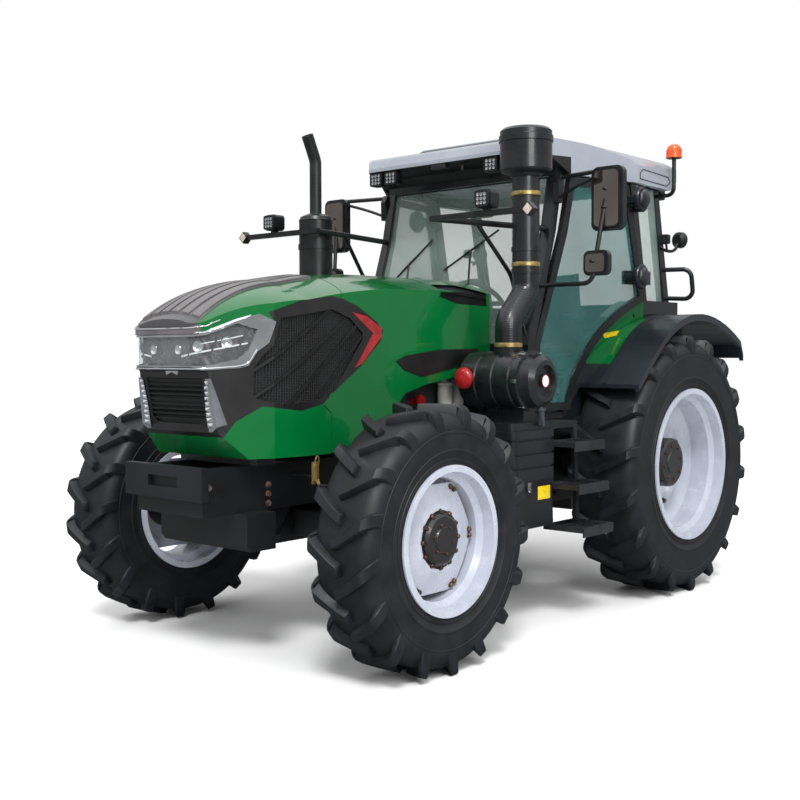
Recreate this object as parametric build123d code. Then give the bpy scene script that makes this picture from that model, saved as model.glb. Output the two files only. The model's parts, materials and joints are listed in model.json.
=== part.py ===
from build123d import *
from math import asin, cos, degrees, pi, sin, sqrt
import os

# Farm tractor, four-wheel drive with cab, in millimetres.
# X points to the tractor's left side, -Y ahead, +Z up. The origin is on the ground
# under the middle of the whole machine. Left-hand pieces are drawn, right-hand ones mirrored.

# ---------------------------------------------------------------- driving dimensions
WHEELBASE = 2670
REAR_AXLE_Y = 1245
FRONT_AXLE_Y = REAR_AXLE_Y - WHEELBASE
NOSE_Y = -2300                      # front face of the bumper

FRONT_TYRE_R, FRONT_TYRE_HALF = 683, 189     # size 14.9-28
REAR_TYRE_R, REAR_TYRE_HALF = 866, 234       # size 18.4-38
FRONT_TRACK = 1010                  # wheel centre plane from the tractor's centre plane
REAR_TRACK = 935
KINGPIN_X = 770
KINGPIN_R = 25
RUNNING = 0.05                      # radial clearance of a pin in its bore
JOINT_GAP = 6                       # face to face gap between pieces that move

FRAME_TOP = 1040
ENGINE_Y = (-1200, -330)
PTO_R = 17.45                       # power take-off stub, 1 3/8 in
TOP_LINK_R = 12.85                  # bore for the 25.4 mm top link pin
TANK_X = (600, 980)                 # fuel tank, inner and outer face
TANK_TOP = 1215
FLOOR_Z = (1200, 1240)              # underside and top of the cab floor
PILLAR_TOP = 2740
RAIL_TOP = 2800                     # top of the cab's upper rails, under the roof
FENDER_DECK = 1970                  # level top of the fenders beside the cab

BONNET_HALF = 450
BONNET_SKIN = 22
BONNET_REAR_Y = -95
BONNET_HINGE = (-275, 2010)         # y, z of the line the bonnet tilts about
HINGE_POST_X = (150, 170)
CROWN_AXIS_Z = 1040                 # the bonnet's top is turned about this line

DOOR_HINGE = (905, 987)             # x, y of the left door's vertical hinge line
DOOR_THICK = 35
DOOR_HINGES = ((2117, 1086), (2600, 984))    # height, and y of the B-pillar there


# ---------------------------------------------------------------- helpers
def block(x, y, z):
    """A box between two limits on each axis."""
    size = [high - low for low, high in (x, y, z)]
    centre = [(high + low) / 2 for low, high in (x, y, z)]
    return Pos(*centre) * Box(*size)


def drum(start, end, radius):
    """A cylinder from one point to another."""
    line = Vector(*end) - Vector(*start)
    return Plane(origin=start, z_dir=line) * Cylinder(
        radius, line.length, align=(Align.CENTER, Align.CENTER, Align.MIN))


def side_form(points, x):
    """A closed outline in Y and Z, as a prism between two values of X."""
    outline = make_face(Polyline(*points, close=True))
    return extrude(Plane.YZ.offset(x[0]) * outline, amount=x[1] - x[0])


def plan_form(points, z):
    """A closed outline in X and Y, as a prism between two heights."""
    outline = make_face(Polyline(*points, close=True))
    return extrude(Plane.XY.offset(z[0]) * outline, amount=z[1] - z[0])


def front_form(points, y):
    """A closed outline in X and Z, as a prism between two values of Y."""
    outline = make_face(Polyline(*points, close=True))
    return extrude(Plane.XZ.offset(-y[1]) * outline, amount=y[1] - y[0])


def turned(points):
    """A closed outline of (x, radius), turned about the X axis."""
    return revolve(make_face(Polyline(*points, close=True)), Axis.X)


def pipe(points, radius, bend):
    """A round bar along straight runs joined by arcs."""
    path = FilletPolyline(*points, radius=bend) if len(points) > 2 else Line(*points)
    start = Plane(origin=path @ 0, z_dir=path % 0)
    return sweep(start * Circle(radius), path=path)


def stood(points, place):
    """A closed outline of (radius, height), turned about the vertical line through place (x, y)."""
    form = revolve(Plane.XZ * make_face(Polyline(*points, close=True)), Axis.Z)
    return Pos(place[0], place[1], 0) * form


def padded_box(x, y, z, radius):
    """A box between limits with its four upright edges rounded."""
    return fillet(block(x, y, z).edges().filter_by(Axis.Z), radius)


def rounded_plate(centre, size, radius, depth):
    """A plate facing along Y: centre is its middle, size its width and height."""
    outline = Plane(origin=centre, x_dir=(1, 0, 0), z_dir=(0, -1, 0)) * RectangleRounded(*size, radius)
    return extrude(outline, amount=depth / 2, both=True)


def smooth(points, count):
    """Points evenly along a smooth line through a few (y, z) points."""
    line = Spline(*points)
    marks = [line @ (i / count) for i in range(count + 1)]
    return [(mark.X, mark.Y) for mark in marks]


def right_of(left):
    return mirror(left, about=Plane.YZ)


def both(left):
    """A left-hand piece and its mirror image, as separate solids."""
    return Compound(children=[*left.solids(), *right_of(left).solids()])


def between(points, y):
    """Height at y on a line of (y, z) points."""
    for (y0, z0), (y1, z1) in zip(points, points[1:]):
        if y0 <= y <= y1:
            return z0 + (z1 - z0) * (y - y0) / (y1 - y0)
    raise ValueError(y)


# ---------------------------------------------------------------- wheels
# A wheel's outlines are (x, radius) with x outwards from its centre plane.
LUG_DEPTH = 38
LUG_INNER = (-16, -22, 32)          # x of a lug's inner end, and its two edges round the tyre there
LUG_OUTER = (96, 166)               # its two edges at the sidewall
SHOULDER = 30                       # a lug's end slopes from here inside the sidewall
FLANGE = 25                         # rim flange above the bead seat
RIM_SHEET = 10


def ring_form(stations, sides):
    """A form about the X axis with flat sides, through (x, radius to the middle of a side) stations."""
    step = 2 * pi / sides
    rings = []
    for x, radius in stations:
        corner_r = radius / cos(step / 2)
        rings.append([(x, corner_r * cos(step * i), corner_r * sin(step * i)) for i in range(sides)])
    faces = [make_face(Polyline(*ring, close=True)) for ring in (rings[0], rings[-1])]
    for ring, following in zip(rings, rings[1:]):
        for i in range(sides):
            quad = (ring[i - 1], ring[i], following[i], following[i - 1])
            faces.append(make_face(Polyline(*quad, close=True)))
    return Solid(Shell([part.face() for part in faces]))


def tyre(tip_r, half, bead_r, pairs, phase):
    """Carcass and two staggered rows of slanted lugs, all in flat faces, standing on a lug's corner."""
    base_r = tip_r - LUG_DEPTH
    seat = half - 24
    pitch = 360 / pairs
    inner_x, near, far = LUG_INNER
    shoulder = half - SHOULDER
    corner = far + (LUG_OUTER[1] - far) * (shoulder - inner_x) / (half - inner_x)
    top = sqrt(tip_r ** 2 - corner ** 2)
    first = degrees(asin(corner / tip_r)) - 180
    side = [(seat, bead_r), (half - 3, (bead_r + tip_r) / 2), (half - 34, base_r - 4)]
    carcass = ring_form([(-x, radius) for x, radius in side] + side[::-1], 2 * pairs)
    carcass -= ring_form([(-seat, bead_r), (seat, bead_r)], 2 * pairs)
    lug = plan_form([(inner_x, near), (half, LUG_OUTER[0]), (half, LUG_OUTER[1]), (inner_x, far)],
                    (base_r - 110, tip_r))
    lug &= front_form([(inner_x, base_r - 90), (half + 4, base_r - 90), (shoulder, top), (inner_x, top)],
                      (-400, 400))
    lugs = [Rot(first + pitch * i, 0, 0) * lug for i in range(pairs)]
    lugs += [Rot(first + pitch * (i + 0.5), 0, 0) * right_of(lug) for i in range(pairs)]
    return Rot(first - pitch * phase, 0, 0) * carcass + lugs


def rim_barrel(seat, bead_r, drop_r):
    """Flanges, bead seats and drop centre, bent from one sheet."""
    flange_r = bead_r + FLANGE
    outside = [(seat + 16, flange_r), (seat + 5, flange_r), (seat + 5, bead_r), (seat - 45, bead_r - 4),
               (seat - 70, drop_r)]
    inside = [(seat + 16, bead_r - RIM_SHEET), (seat - 49, bead_r - 4 - RIM_SHEET),
              (seat - 74, drop_r - RIM_SHEET)]
    sheet = outside + [(-x, radius) for x, radius in reversed(outside)]
    return turned(sheet + [(-x, radius) for x, radius in inside] + inside[::-1])


def front_disc(barrel_r, hub_r):
    """Six-cornered dished disc, bolted to lugs welded inside the barrel."""
    dish = turned([(98, hub_r - 20), (98, hub_r + 14), (76, hub_r + 78), (52, barrel_r + 5),
                   (38, barrel_r + 5), (62, hub_r + 72), (84, hub_r + 8), (84, hub_r - 20)])
    disc = dish & extrude(Plane.YZ * RegularPolygon(barrel_r + 6, 6), amount=150)
    lug = block((26, 40), (-34, 34), (barrel_r - 62, barrel_r + 5))
    return disc + [Rot(60 * i + 30, 0, 0) * lug for i in range(6)]


def rear_disc(barrel_r, hub_r):
    """Full dished disc with a flat bolting ring round the hub."""
    return turned([(-52, hub_r - 20), (-52, hub_r + 165), (-20, hub_r + 225), (6, barrel_r + 5),
                   (-8, barrel_r + 5), (-33, hub_r + 229), (-65, hub_r + 169), (-65, hub_r - 20)])


def hub(hub_r, hub_x, bore_r, notches):
    """Planetary hub with a stepped cover; hub_x is (inner end, bore's bottom, flange, outer end)."""
    low, bottom, flange, outer = hub_x
    form = turned([(low, bore_r), (bottom, bore_r), (bottom, 0), (outer, 0), (outer, hub_r * 0.42),
                   (outer - 8, hub_r * 0.46), (outer - 8, hub_r - 30), (outer - 22, hub_r - 12),
                   (flange, hub_r - 12), (flange, hub_r), (flange - 30, hub_r), (low, hub_r - 40)])
    bite = drum((flange, 0, hub_r - 6), (outer, 0, hub_r - 6), 14)
    return form - [Rot(360 / notches * i, 0, 0) * bite for i in range(notches)]


SPINDLE_R, SHAFT_R = 45, 60
FRONT_BEAD, REAR_BEAD = 356, 483
# name, centre x, axle y, tip radius, half width, bead radius, drop radius, pairs of lugs, how far a lug
# stands past a corner of the carcass in pitches, disc, hub radius, hub x, bore radius, hub's notches
WHEELS = (
    ("front", FRONT_TRACK, FRONT_AXLE_Y, FRONT_TYRE_R, FRONT_TYRE_HALF, FRONT_BEAD, 322, 17, 0.15,
     front_disc, 147, (-60, 40, 98, 130), SPINDLE_R + RUNNING, 12),
    ("rear", REAR_TRACK, REAR_AXLE_Y, REAR_TYRE_R, REAR_TYRE_HALF, REAR_BEAD, 445, 18, 0.3,
     rear_disc, 177, (-235, -130, -30, 90), SHAFT_R + RUNNING, 8),
)


def wheels():
    made = {}
    for (name, x, y, tip_r, half, bead_r, drop_r, pairs, phase, disc, hub_r, hub_x, bore_r,
         notches) in WHEELS:
        place = Pos(x, y, tip_r)
        left_tyre = place * tyre(tip_r, half, bead_r, pairs, phase)
        left_rim = rim_barrel(half - 24, bead_r, drop_r) + disc(drop_r - RIM_SHEET, hub_r)
        left_rim = place * (left_rim + hub(hub_r, hub_x, bore_r, notches))
        made[f"tyre_{name}_left"] = left_tyre
        made[f"tyre_{name}_right"] = right_of(left_tyre)
        made[f"rim_{name}_left"] = left_rim
        made[f"rim_{name}_right"] = right_of(left_rim)
    return made


# ---------------------------------------------------------------- axles and drive line
AXLE_Z = FRONT_TYRE_R
KNUCKLE_HALF = 120                  # half height of the knuckle between the yoke's ears
EAR = 39


def front_axle():
    """Driven beam with a centre pivot and a forked end round each knuckle."""
    y, z = FRONT_AXLE_Y, AXLE_Z
    low, high = z - KNUCKLE_HALF - JOINT_GAP, z + KNUCKLE_HALF + JOINT_GAP
    beam = front_form([
        (-690, low - EAR), (-640, low - EAR), (-560, z - 62), (-200, z - 72), (200, z - 72),
        (560, z - 62), (640, low - EAR), (690, low - EAR), (690, high + EAR), (640, high + EAR),
        (560, z + 62), (200, z + 72), (-200, z + 72), (-560, z + 62), (-640, high + EAR),
        (-690, high + EAR)], (y - 60, y + 60))
    beam += drum((0, y - 150, z), (0, y + 150, z), 128)
    beam += drum((0, y - 195, z), (0, y + 195, z), 50)
    for side in (-1, 1):
        for ear_z in ((low - EAR, low), (high, high + EAR)):
            edge = sorted((side * 690, side * KINGPIN_X))
            beam += block(edge, (y - 60, y + 60), ear_z)
            beam += Pos(side * KINGPIN_X, y, sum(ear_z) / 2) * Cylinder(60, EAR)
            beam -= Pos(side * KINGPIN_X, y, sum(ear_z) / 2) * Cylinder(KINGPIN_R + RUNNING, EAR)
    steering = drum((-300, y + 107, z), (300, y + 107, z), 40)
    steering += drum((-560, y + 107, z), (560, y + 107, z), 18)
    return beam + steering


def knuckle():
    """Steered hub carrier of the left front wheel, with its kingpins and steering arm."""
    x, y, z = KINGPIN_X, FRONT_AXLE_Y, AXLE_Z
    wheel_face = FRONT_TRACK - 60 - JOINT_GAP
    body = Pos(x, y, z) * Cylinder(66, 2 * KNUCKLE_HALF)
    body += drum((x, y, z), (wheel_face, y, z), 95)
    body += drum((x, y, z), (FRONT_TRACK + 30, y, z), SPINDLE_R)
    body += Pos(x, y, z) * Cylinder(KINGPIN_R, 2 * (KNUCKLE_HALF + JOINT_GAP + EAR))
    body += block((x - 12, x + 28), (y, y + 190), (z - 18, z + 18))
    body += Pos(x + 8, y + 190, z) * Cylinder(28, 36)
    return body


def front_frame():
    """Side rails ahead of the engine, axle hangers, bumper plate and skid box."""
    rail = block((200, 260), (NOSE_Y + 45, ENGINE_Y[0]), (800, FRAME_TOP))
    frame = rail + right_of(rail)
    frame += block((-260, 260), (NOSE_Y + 45, NOSE_Y + 120), (800, FRAME_TOP))
    bumper = block((-310, 310), (NOSE_Y, NOSE_Y + 45), (886, 1054))
    bumper -= block((-120, 120), (NOSE_Y - 5, NOSE_Y + 25), (945, 1000))
    frame += bumper
    for y in (FRONT_AXLE_Y - 195, FRONT_AXLE_Y + 155):
        hanger = front_form([(-200, 800), (-90, 620), (90, 620), (200, 800), (200, 900),
                             (-200, 900)], (y, y + 40))
        frame += hanger - drum((0, y - 5, AXLE_Z), (0, y + 45, AXLE_Z), 50.2)
    skid = side_form([(-2038, 640), (-2038, 800), (-1840, 800), (-1840, 607), (-2010, 607)],
                     (-350, 350))
    return frame + skid


def engine():
    """Engine as one plain block, and the radiator pack ahead of it."""
    block_y = ENGINE_Y
    motor = block((-250, 250), block_y, (760, 1560))
    motor += block((-170, 170), (-1100, -520), (640, 760)) - drum((0, -1110, AXLE_Z), (0, -510, AXLE_Z), 60)
    radiator = block((-310, 310), (-1930, -1800), (FRAME_TOP, 1660))
    hinge_y, hinge_z = BONNET_HINGE
    post = side_form([(-400, 1560), (-335, 1560), (hinge_y + 14, hinge_z), (hinge_y - 16, hinge_z)],
                     HINGE_POST_X)
    post += drum((HINGE_POST_X[0], hinge_y, hinge_z), (HINGE_POST_X[1], hinge_y, hinge_z), 16)
    post += drum((HINGE_POST_X[1], hinge_y, hinge_z), (HINGE_POST_X[1] + 24, hinge_y, hinge_z), 8)
    motor += post + right_of(post)
    return Compound(children=[*motor.solids(), *radiator.solids()])


def transmission():
    """Bell housing, gearbox and rear housing with the power take-off."""
    bell = Plane.XZ.offset(-ENGINE_Y[1]) * Pos(0, 900) * RectangleRounded(520, 520, 120)
    waist = Plane.XZ.offset(60) * Pos(0, 860) * RectangleRounded(400, 460, 100)
    case = loft([bell, waist])
    case += drum((0, FRONT_AXLE_Y + 195, AXLE_Z), (0, ENGINE_Y[1], AXLE_Z), 32)
    case += block((-190, 190), (-60, 950), (600, 1100))
    case += block((-230, 230), (950, 1500), (560, 1160))
    case += block((-230, 230), (1500, 1545), (560, 1100))
    case += drum((0, 1545, 700), (0, 1620, 700), PTO_R)
    ear = block((26, 46), (1545, 1610), (855, 925))
    case += ear + right_of(ear)
    case -= drum((-50, 1578, 890), (50, 1578, 890), TOP_LINK_R)
    case += block((-TANK_X[0], TANK_X[0]), (-300, -200), (900, 960))
    for (y, z), radius in ((LINK_PIVOT, LINK_PIN_R), (ARM_PIVOT, ARM_PIN_R)):
        case += drum((-HITCH_PIN_END, y, z), (HITCH_PIN_END, y, z), radius)
    for x, y, z in ((200, -130, 1000), (200, 1300, 1160)):
        mount = drum((x, y, z), (x, y, FLOOR_Z[0]), 45)
        case += mount + right_of(mount)
    return case


def rear_axle():
    """Axle trumpets with the shaft that carries each rear wheel."""
    wheel_face = REAR_TRACK - 235 - JOINT_GAP
    trumpet = turned([
        (230, 0), (230, 165), (300, 160), (600, 110), (650, 110), (655, 165),
        (wheel_face, 165), (wheel_face, SHAFT_R), (REAR_TRACK - 140, SHAFT_R),
        (REAR_TRACK - 140, 0)])
    return both(Pos(0, REAR_AXLE_Y, REAR_TYRE_R) * trumpet)


# ---------------------------------------------------------------- bonnet
# The bonnet's outside is one form: its nose in side view, its plan, and a top turned
# about a line along the tractor, so that the crown follows the nose down.
NOSE_LINE = [(-2037, 1085), (-2181, 1221), (-2226, 1526), (-2278, 1560), (-2282, 1800)]
LOWER_LINE = [(-1539, 1085), (-1090, 1148), (-976, 1330), (-912, 1389), (-718, 1436), (-298, 1492)]


def bonnet_form(grow=0):
    """The bonnet's outside as one solid, every face moved outwards by grow."""
    def top(y, radius):
        return (y, radius + grow)

    section = [
        Line((-2500, 0), top(-2500, 740)),
        Line(top(-2500, 740), top(-2290, 750)),
        ThreePointArc(top(-2290, 750), top(-2040, 892), top(-1692, 969)),
        ThreePointArc(top(-1692, 969), top(-1290, 1024), top(-900, 1045)),
        Line(top(-900, 1045), top(0, 1050)),
        Line(top(0, 1050), (0, 0)),
        Line((0, 0), (-2500, 0)),
    ]
    crown = revolve(Plane.YZ * make_face(Curve() + section), Axis.Y)
    crown = Pos(0, 0, CROWN_AXIS_Z) * crown
    nose = [(-1000, 900), (-2037, 900), *NOSE_LINE, (-2282, 2300), (0, 2300), (0, 900)]
    nose_side = offset(make_face(Polyline(*nose, close=True)), grow)
    nose_side = extrude(Plane.YZ.offset(-600) * nose_side, amount=1200)
    half = [
        Line((0, 0), (BONNET_HALF, 0)),
        Line((BONNET_HALF, 0), (BONNET_HALF, -1600)),
        ThreePointArc((BONNET_HALF, -1600), (443, -1760), (420, -1910)),
        Line((420, -1910), (290, -2200)),
        ThreePointArc((290, -2200), (240, -2262), (150, -2278)),
        Line((150, -2278), (0, -2283)),
        Line((0, -2283), (0, 0)),
    ]
    half = make_face(Curve() + half)
    plan = half + mirror(half, about=Plane.YZ)
    plan = offset(plan, grow) if grow else plan
    plan = extrude(Plane.XY.offset(900) * plan, amount=1400)
    return crown & nose_side & plan


def band(points, reach=700):
    """A side-view outline through the whole width, for cutting or keeping."""
    return side_form(points, (-reach, reach))


# Outlines in side view, (y, z). The dark front panel runs round the nose and back along both sides.
DARK_PANEL = [(-2400, 1200), (-2160, 1194), (-2098, 1277), (-1969, 1351), (-1740, 1321),
              (-1586, 1352), (-1497, 1416), (-1291, 1547), (-1127, 1684), (-1105, 1744),
              (-1157, 1793), (-1319, 1878), (-1431, 1912), (-1515, 1924), (-1748, 1893),
              (-1940, 1829), (-1904, 1781), (-1941, 1673), (-1996, 1631), (-2040, 1559),
              (-2084, 1547), (-2204, 1540), (-2400, 1530)]
SIDE_MESH = [(-2012, 1395), (-1832, 1352), (-1520, 1392), (-1433, 1500), (-1276, 1694), (-1276, 1732),
             (-1376, 1809), (-1515, 1853), (-1870, 1800), (-1905, 1665), (-1965, 1612), (-2012, 1540)]
LAMP_CLUSTER = [(-2400, 1530), (-2204, 1540), (-2084, 1547), (-2040, 1559), (-1996, 1631),
                (-1941, 1673), (-1904, 1781), (-1984, 1819), (-2092, 1785), (-2240, 1722), (-2400, 1692)]
LENS = [(-2400, 1563), (-2250, 1560), (-2205, 1566), (-2089, 1592), (-2040, 1636), (-1996, 1742),
        (-2092, 1772), (-2240, 1712), (-2400, 1684)]
BROW = [(-2400, 1716), (-2281, 1719), (-2240, 1745), (-2240, 1776), (-2281, 1752), (-2400, 1750)]
ARROW = [(-1361, 1842), (-1240, 1822), (-1122, 1758), (-1118, 1715), (-1276, 1566), (-1334, 1542),
         (-1190, 1728)]
BLADE = [(-998, 1574), (-911, 1604), (-600, 1639), (-219, 1644), (-209, 1568), (-767, 1479), (-928, 1522)]
SEAM = (((-1320, 2100), (-1452, 1920)), ((-1586, 1345), (-1525, 1302)), ((-1525, 1302), (-1520, 1060)))
VENT = [(-560, 2028), (-599, 1950), (-427, 1914), (-130, 1906), (-130, 1988), (-300, 2036)]
# Diagonal fins over the side mesh: lower front end and upper rear end of each one.
FINS = (((-2060, 1500), (-1528, 1853)), ((-2012, 1395), (-1404, 1803)), ((-1832, 1352), (-1319, 1771)),
        ((-1640, 1370), (-1276, 1713)))
# Outlines in front view, (x, z), of the left half.
FRONT_MESH = [(168, 1262), (216, 1300), (226, 1496)]
LAMP_STRIP = [(258, 1495), (284, 1495), (318, 1262), (262, 1227), (238, 1227)]
RIBS = 6
RIB_FRONT, RIB_REAR = (480, -2240), (400, -1420)     # width over all the ribs, and y


def bar_across(start, end, width):
    """A straight bar in side view between two (y, z) points, through the whole width."""
    (y0, z0), (y1, z1) = start, end
    length = ((y1 - y0) ** 2 + (z1 - z0) ** 2) ** 0.5
    side_y, side_z = width / 2 * (z0 - z1) / length, width / 2 * (y1 - y0) / length
    return band([(y0 + side_y, z0 + side_z), (y1 + side_y, z1 + side_z),
                 (y1 - side_y, z1 - side_z), (y0 - side_y, z0 - side_z)])


def top_trim(outer):
    """Grey panel with tapering ribs on top of the nose, and the brow ahead of it."""
    def strip(low, high):
        edges = [(low * RIB_FRONT[0], RIB_FRONT[1]), (high * RIB_FRONT[0], RIB_FRONT[1]),
                 (high * RIB_REAR[0], RIB_REAR[1]), (low * RIB_REAR[0], RIB_REAR[1])]
        return plan_form(edges, (1780, 2300))

    trim = (bonnet_form(4) - outer) & strip(-0.5, 0.5)
    raised = bonnet_form(14) - outer
    for i in range(RIBS):
        middle = (i + 0.5) / RIBS - 0.5
        trim += raised & strip(middle - 0.36 / RIBS, middle + 0.36 / RIBS)
    return trim + ((raised & band(BROW)) & block((-256, 256), (-2400, -2200), (1600, 1800)))


def grille_panel(outer, inner):
    """Dark panel: its frame, the mesh set back in it, fins over the side mesh and bars over the front."""
    skin = outer - inner
    panel = skin & band(DARK_PANEL)
    front = front_form(FRONT_MESH + [(-x, z) for x, z in reversed(FRONT_MESH)], (-2400, -2100))
    side = band(SIDE_MESH) - block((-700, 700), (-2400, -2040), (1100, 1700))
    deep = bonnet_form(-12) - inner
    fins = side & (bonnet_form(-3) - inner)
    bars = fins & bar_across(*FINS[0], 16)
    for start, end in FINS[1:]:
        bars += fins & bar_across(start, end, 16)
    slats = block((-230, 230), (-2400, -2100), (1282, 1292))
    for i in range(1, 9):
        slats += block((-230, 230), (-2400, -2100), (1282 + 25 * i, 1292 + 25 * i))
    slats &= front & (bonnet_form(-4) - inner)
    return (panel - front - side) + ((deep & (front + side)) & panel) + (bars & panel) + (slats & panel)


def bonnet():
    """The tilting bonnet: painted shell, lamps, dark panel with its mesh, and ribbed top trim."""
    outer, inner = bonnet_form(), bonnet_form(-BONNET_SKIN)
    rear_z = between(LOWER_LINE[-2:] + [(BONNET_REAR_Y, LOWER_LINE[-1][1])], BONNET_REAR_Y)
    below = band([(-2400, 880), (-2400, 1085), *LOWER_LINE, (BONNET_REAR_Y, rear_z),
                  (BONNET_REAR_Y, 2400), (100, 2400), (100, 880)])
    skin = (outer - inner) - below
    lamp_cut = band(LAMP_CLUSTER)
    shell = skin - lamp_cut - band(DARK_PANEL)
    groove = skin & (outer - bonnet_form(-5))
    for start, end in SEAM:
        shell -= groove & bar_across(start, end, 7)
    shell -= (skin & (outer - bonnet_form(-12))) & band(VENT)
    shell += (skin & band(VENT)) & bar_across((-620, 1992), (-100, 1958), 22)
    blade = (bonnet_form(4) - outer) & band(BLADE)
    hinge_y, hinge_z = BONNET_HINGE
    lug_x = (HINGE_POST_X[1] + 3, HINGE_POST_X[1] + 19)
    lug = block(lug_x, (hinge_y - 16, hinge_y + 16), (hinge_z, 2060))
    lug += drum((lug_x[0], hinge_y, hinge_z), (lug_x[1], hinge_y, hinge_z), 16)
    lug -= drum((lug_x[0] - 5, hinge_y, hinge_z), (lug_x[1] + 5, hinge_y, hinge_z), 8 + RUNNING)
    shell = shell + lug + right_of(lug)
    lens = (bonnet_form(-3) - inner) & band(LENS)
    surround = (bonnet_form(9) - inner) & (lamp_cut - band(LENS))
    strip = (bonnet_form(8) - outer) & front_form(LAMP_STRIP, (-2400, -2100))
    arrow = (bonnet_form(3) - outer) & band(ARROW)
    lamps = [*(lens + surround).solids(), *both(strip).solids(), *arrow.solids()]
    grilles = [*grille_panel(outer, inner).solids(), *blade.solids()]
    return {"bonnet_shell": shell, "headlamps": Compound(children=lamps),
            "grilles": Compound(children=grilles), "bonnet_top_trim": top_trim(outer)}


# ---------------------------------------------------------------- exhaust and intake
def exhaust():
    """Riser out of the bonnet's side, muffler with domed ends, and the curved tail pipe."""
    x, y = -650, -520
    riser = pipe([(-250, y, 1380), (x, y, 1380), (x, y, 1560)], 42, 90)
    muffler = stood([(0, 1548), (60, 1548), (100, 1566), (110, 1590), (110, 2490), (100, 2514),
                     (60, 2532), (0, 2532)], (x, y))
    for z in (1640, 2300):
        muffler += stood([(106, z), (116, z), (116, z + 34), (106, z + 34)], (x, y))
    tail = pipe([(x, y, 2525), (x, y, 2880), (x, y - 75, 3040)], 39, 100)
    return riser + muffler + tail - drum((x, y - 62, 3012), (x, y - 110, 3115), 33)


STACK_AT = (750, -139)              # x, y of the upright intake pipe
NECK_TOP = 1642                     # top of the canister's neck, where the intake pipe stands


def air_cleaner():
    """Ribbed canister lying across the tractor, with a domed cover held by a band."""
    y, z, start = -320, 1455, 470
    outline = [(0, 0), (0, 118), (28, 126), (34, 166)]
    for rib in (70, 190, 310):
        outline += [(rib, 166), (rib + 6, 174), (rib + 78, 174), (rib + 84, 166)]
    outline += [(420, 166), (424, 178), (452, 178), (456, 160), (520, 150), (545, 120), (550, 92), (522, 84),
                (522, 40), (540, 34), (540, 0)]
    body = Pos(start, y, z) * turned(outline)
    foot = block((640, 900), (y - 60, y + 60), (TANK_TOP, z - 160))
    neck = drum((STACK_AT[0], y, z), (STACK_AT[0], y, NECK_TOP), 88)
    return body + foot + neck


def intake_stack():
    """Elbow out of the canister, riser with its clamps, and the bowl of the pre-cleaner."""
    x, y = STACK_AT
    elbow = pipe([(x, -320, NECK_TOP), (x, -320, 1800), (x, y, 1985), (x, y, 2130)], 80, 110)
    riser = stood([(0, 2125), (82, 2125), (82, 2700), (0, 2700)], STACK_AT)
    for z in (2096, 2228, 2560):
        riser += stood([(70, z), (88, z), (88, z + 26), (70, z + 26)], STACK_AT)
    bowl = stood([(0, 2672), (92, 2672), (104, 2690), (150, 2704), (157, 2716), (157, 2876), (163, 2880),
                  (163, 2916), (156, 2920), (156, 2946), (138, 2962), (60, 2976), (0, 2980)], STACK_AT)
    return elbow + riser + bowl


# ---------------------------------------------------------------- tanks and steps
def fuel_tanks():
    """Moulded tanks with three recessed waists, stepped in towards the top."""
    tank = padded_box(TANK_X, (-595, -150), (880, 1170), 45)
    tank += padded_box((TANK_X[0] + 16, TANK_X[1] - 22), (-575, -165), (1165, TANK_TOP), 35)
    for z in (950, 1030, 1110):
        tank -= block((0, 1200), (-700, 0), (z, z + 14)) - padded_box(
            (TANK_X[0] + 12, TANK_X[1] - 12), (-583, -162), (z - 5, z + 20), 36)
    return both(tank)


def side_boxes():
    """Battery box on the left and tool box on the right, under the tanks, with a lipped lid."""
    box = padded_box((620, 960), (-585, -160), (600, 850), 20)
    return both(box + padded_box((612, 968), (-592, -152), (850, 880), 25))


STEPS = ((1090, 900), (840, 930), (590, 960))       # tread height, inner x
TREAD = 200                         # how far a tread stands out from its inner x
STRINGERS = (-140, 160)             # y of each hanger's front edge at the top


def steps():
    """Three treads with folded fronts between two raked hangers, under the cab floor."""
    flight = block((600, 900), (-145, 172), (1160, 1200))
    for y in STRINGERS:
        flight += side_form([(y, 1200), (y + 40, 1200), (y + 80, 560), (y + 40, 560)], (880, 900))
    for height, x in STEPS:
        flight += block((880, x + TREAD), (-140, 200), (height - 30, height))
        slot = block((x + 40, x + TREAD - 25), (-140, 200), (height - 40, height + 10))
        for y in (-95, -15, 65, 145):
            flight -= slot & block((0, 2000), (y, y + 30), (0, 2000))
        flight += block((x + TREAD - 8, x + TREAD), (-140, 200), (height - 55, height))
    return both(flight)


# ---------------------------------------------------------------- fenders
CAB_REAR_Y = 1610
DECK_LINE = smooth([(357, 1279), (481, 1510), (719, 1759), (952, 1898), (1117, FENDER_DECK)], 12)
DECK_LINE += [(CAB_REAR_Y, FENDER_DECK)]
FLARE_SHEET = 26
FLARE_X = (880, 1165)
FLARE_LINE = smooth([(500, 1418), (749, 1640), (973, 1790), (1282, 1874), (1670, 1829), (1986, 1696)], 18)
FLARE_TAIL = (2030, 1600)
INNER_WALL = (655, 690)
DOOR_FRONT_X = 640                  # inner face of the door's plane at y = 0
DOOR_SLOPE = 0.2
DOOR_GAP = 14                       # from the fender's deck up to the door's lower edge
DOOR_FRONT_GAP = 21                 # the front edge moves forward as the door starts to swing


def door_plane(y):
    return DOOR_FRONT_X + DOOR_SLOPE * y


def lowered(points, drop):
    return [(y, z - drop) for y, z in reversed(points)]


def lines_between(points, low_y, high_y):
    """The part of a (y, z) line between two values of y, with points at both ends."""
    inside = [(y, z) for y, z in points if low_y < y < high_y]
    ends = [(y, between(points, y)) for y in (low_y, high_y)]
    return [ends[0], *inside, ends[1]]


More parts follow.
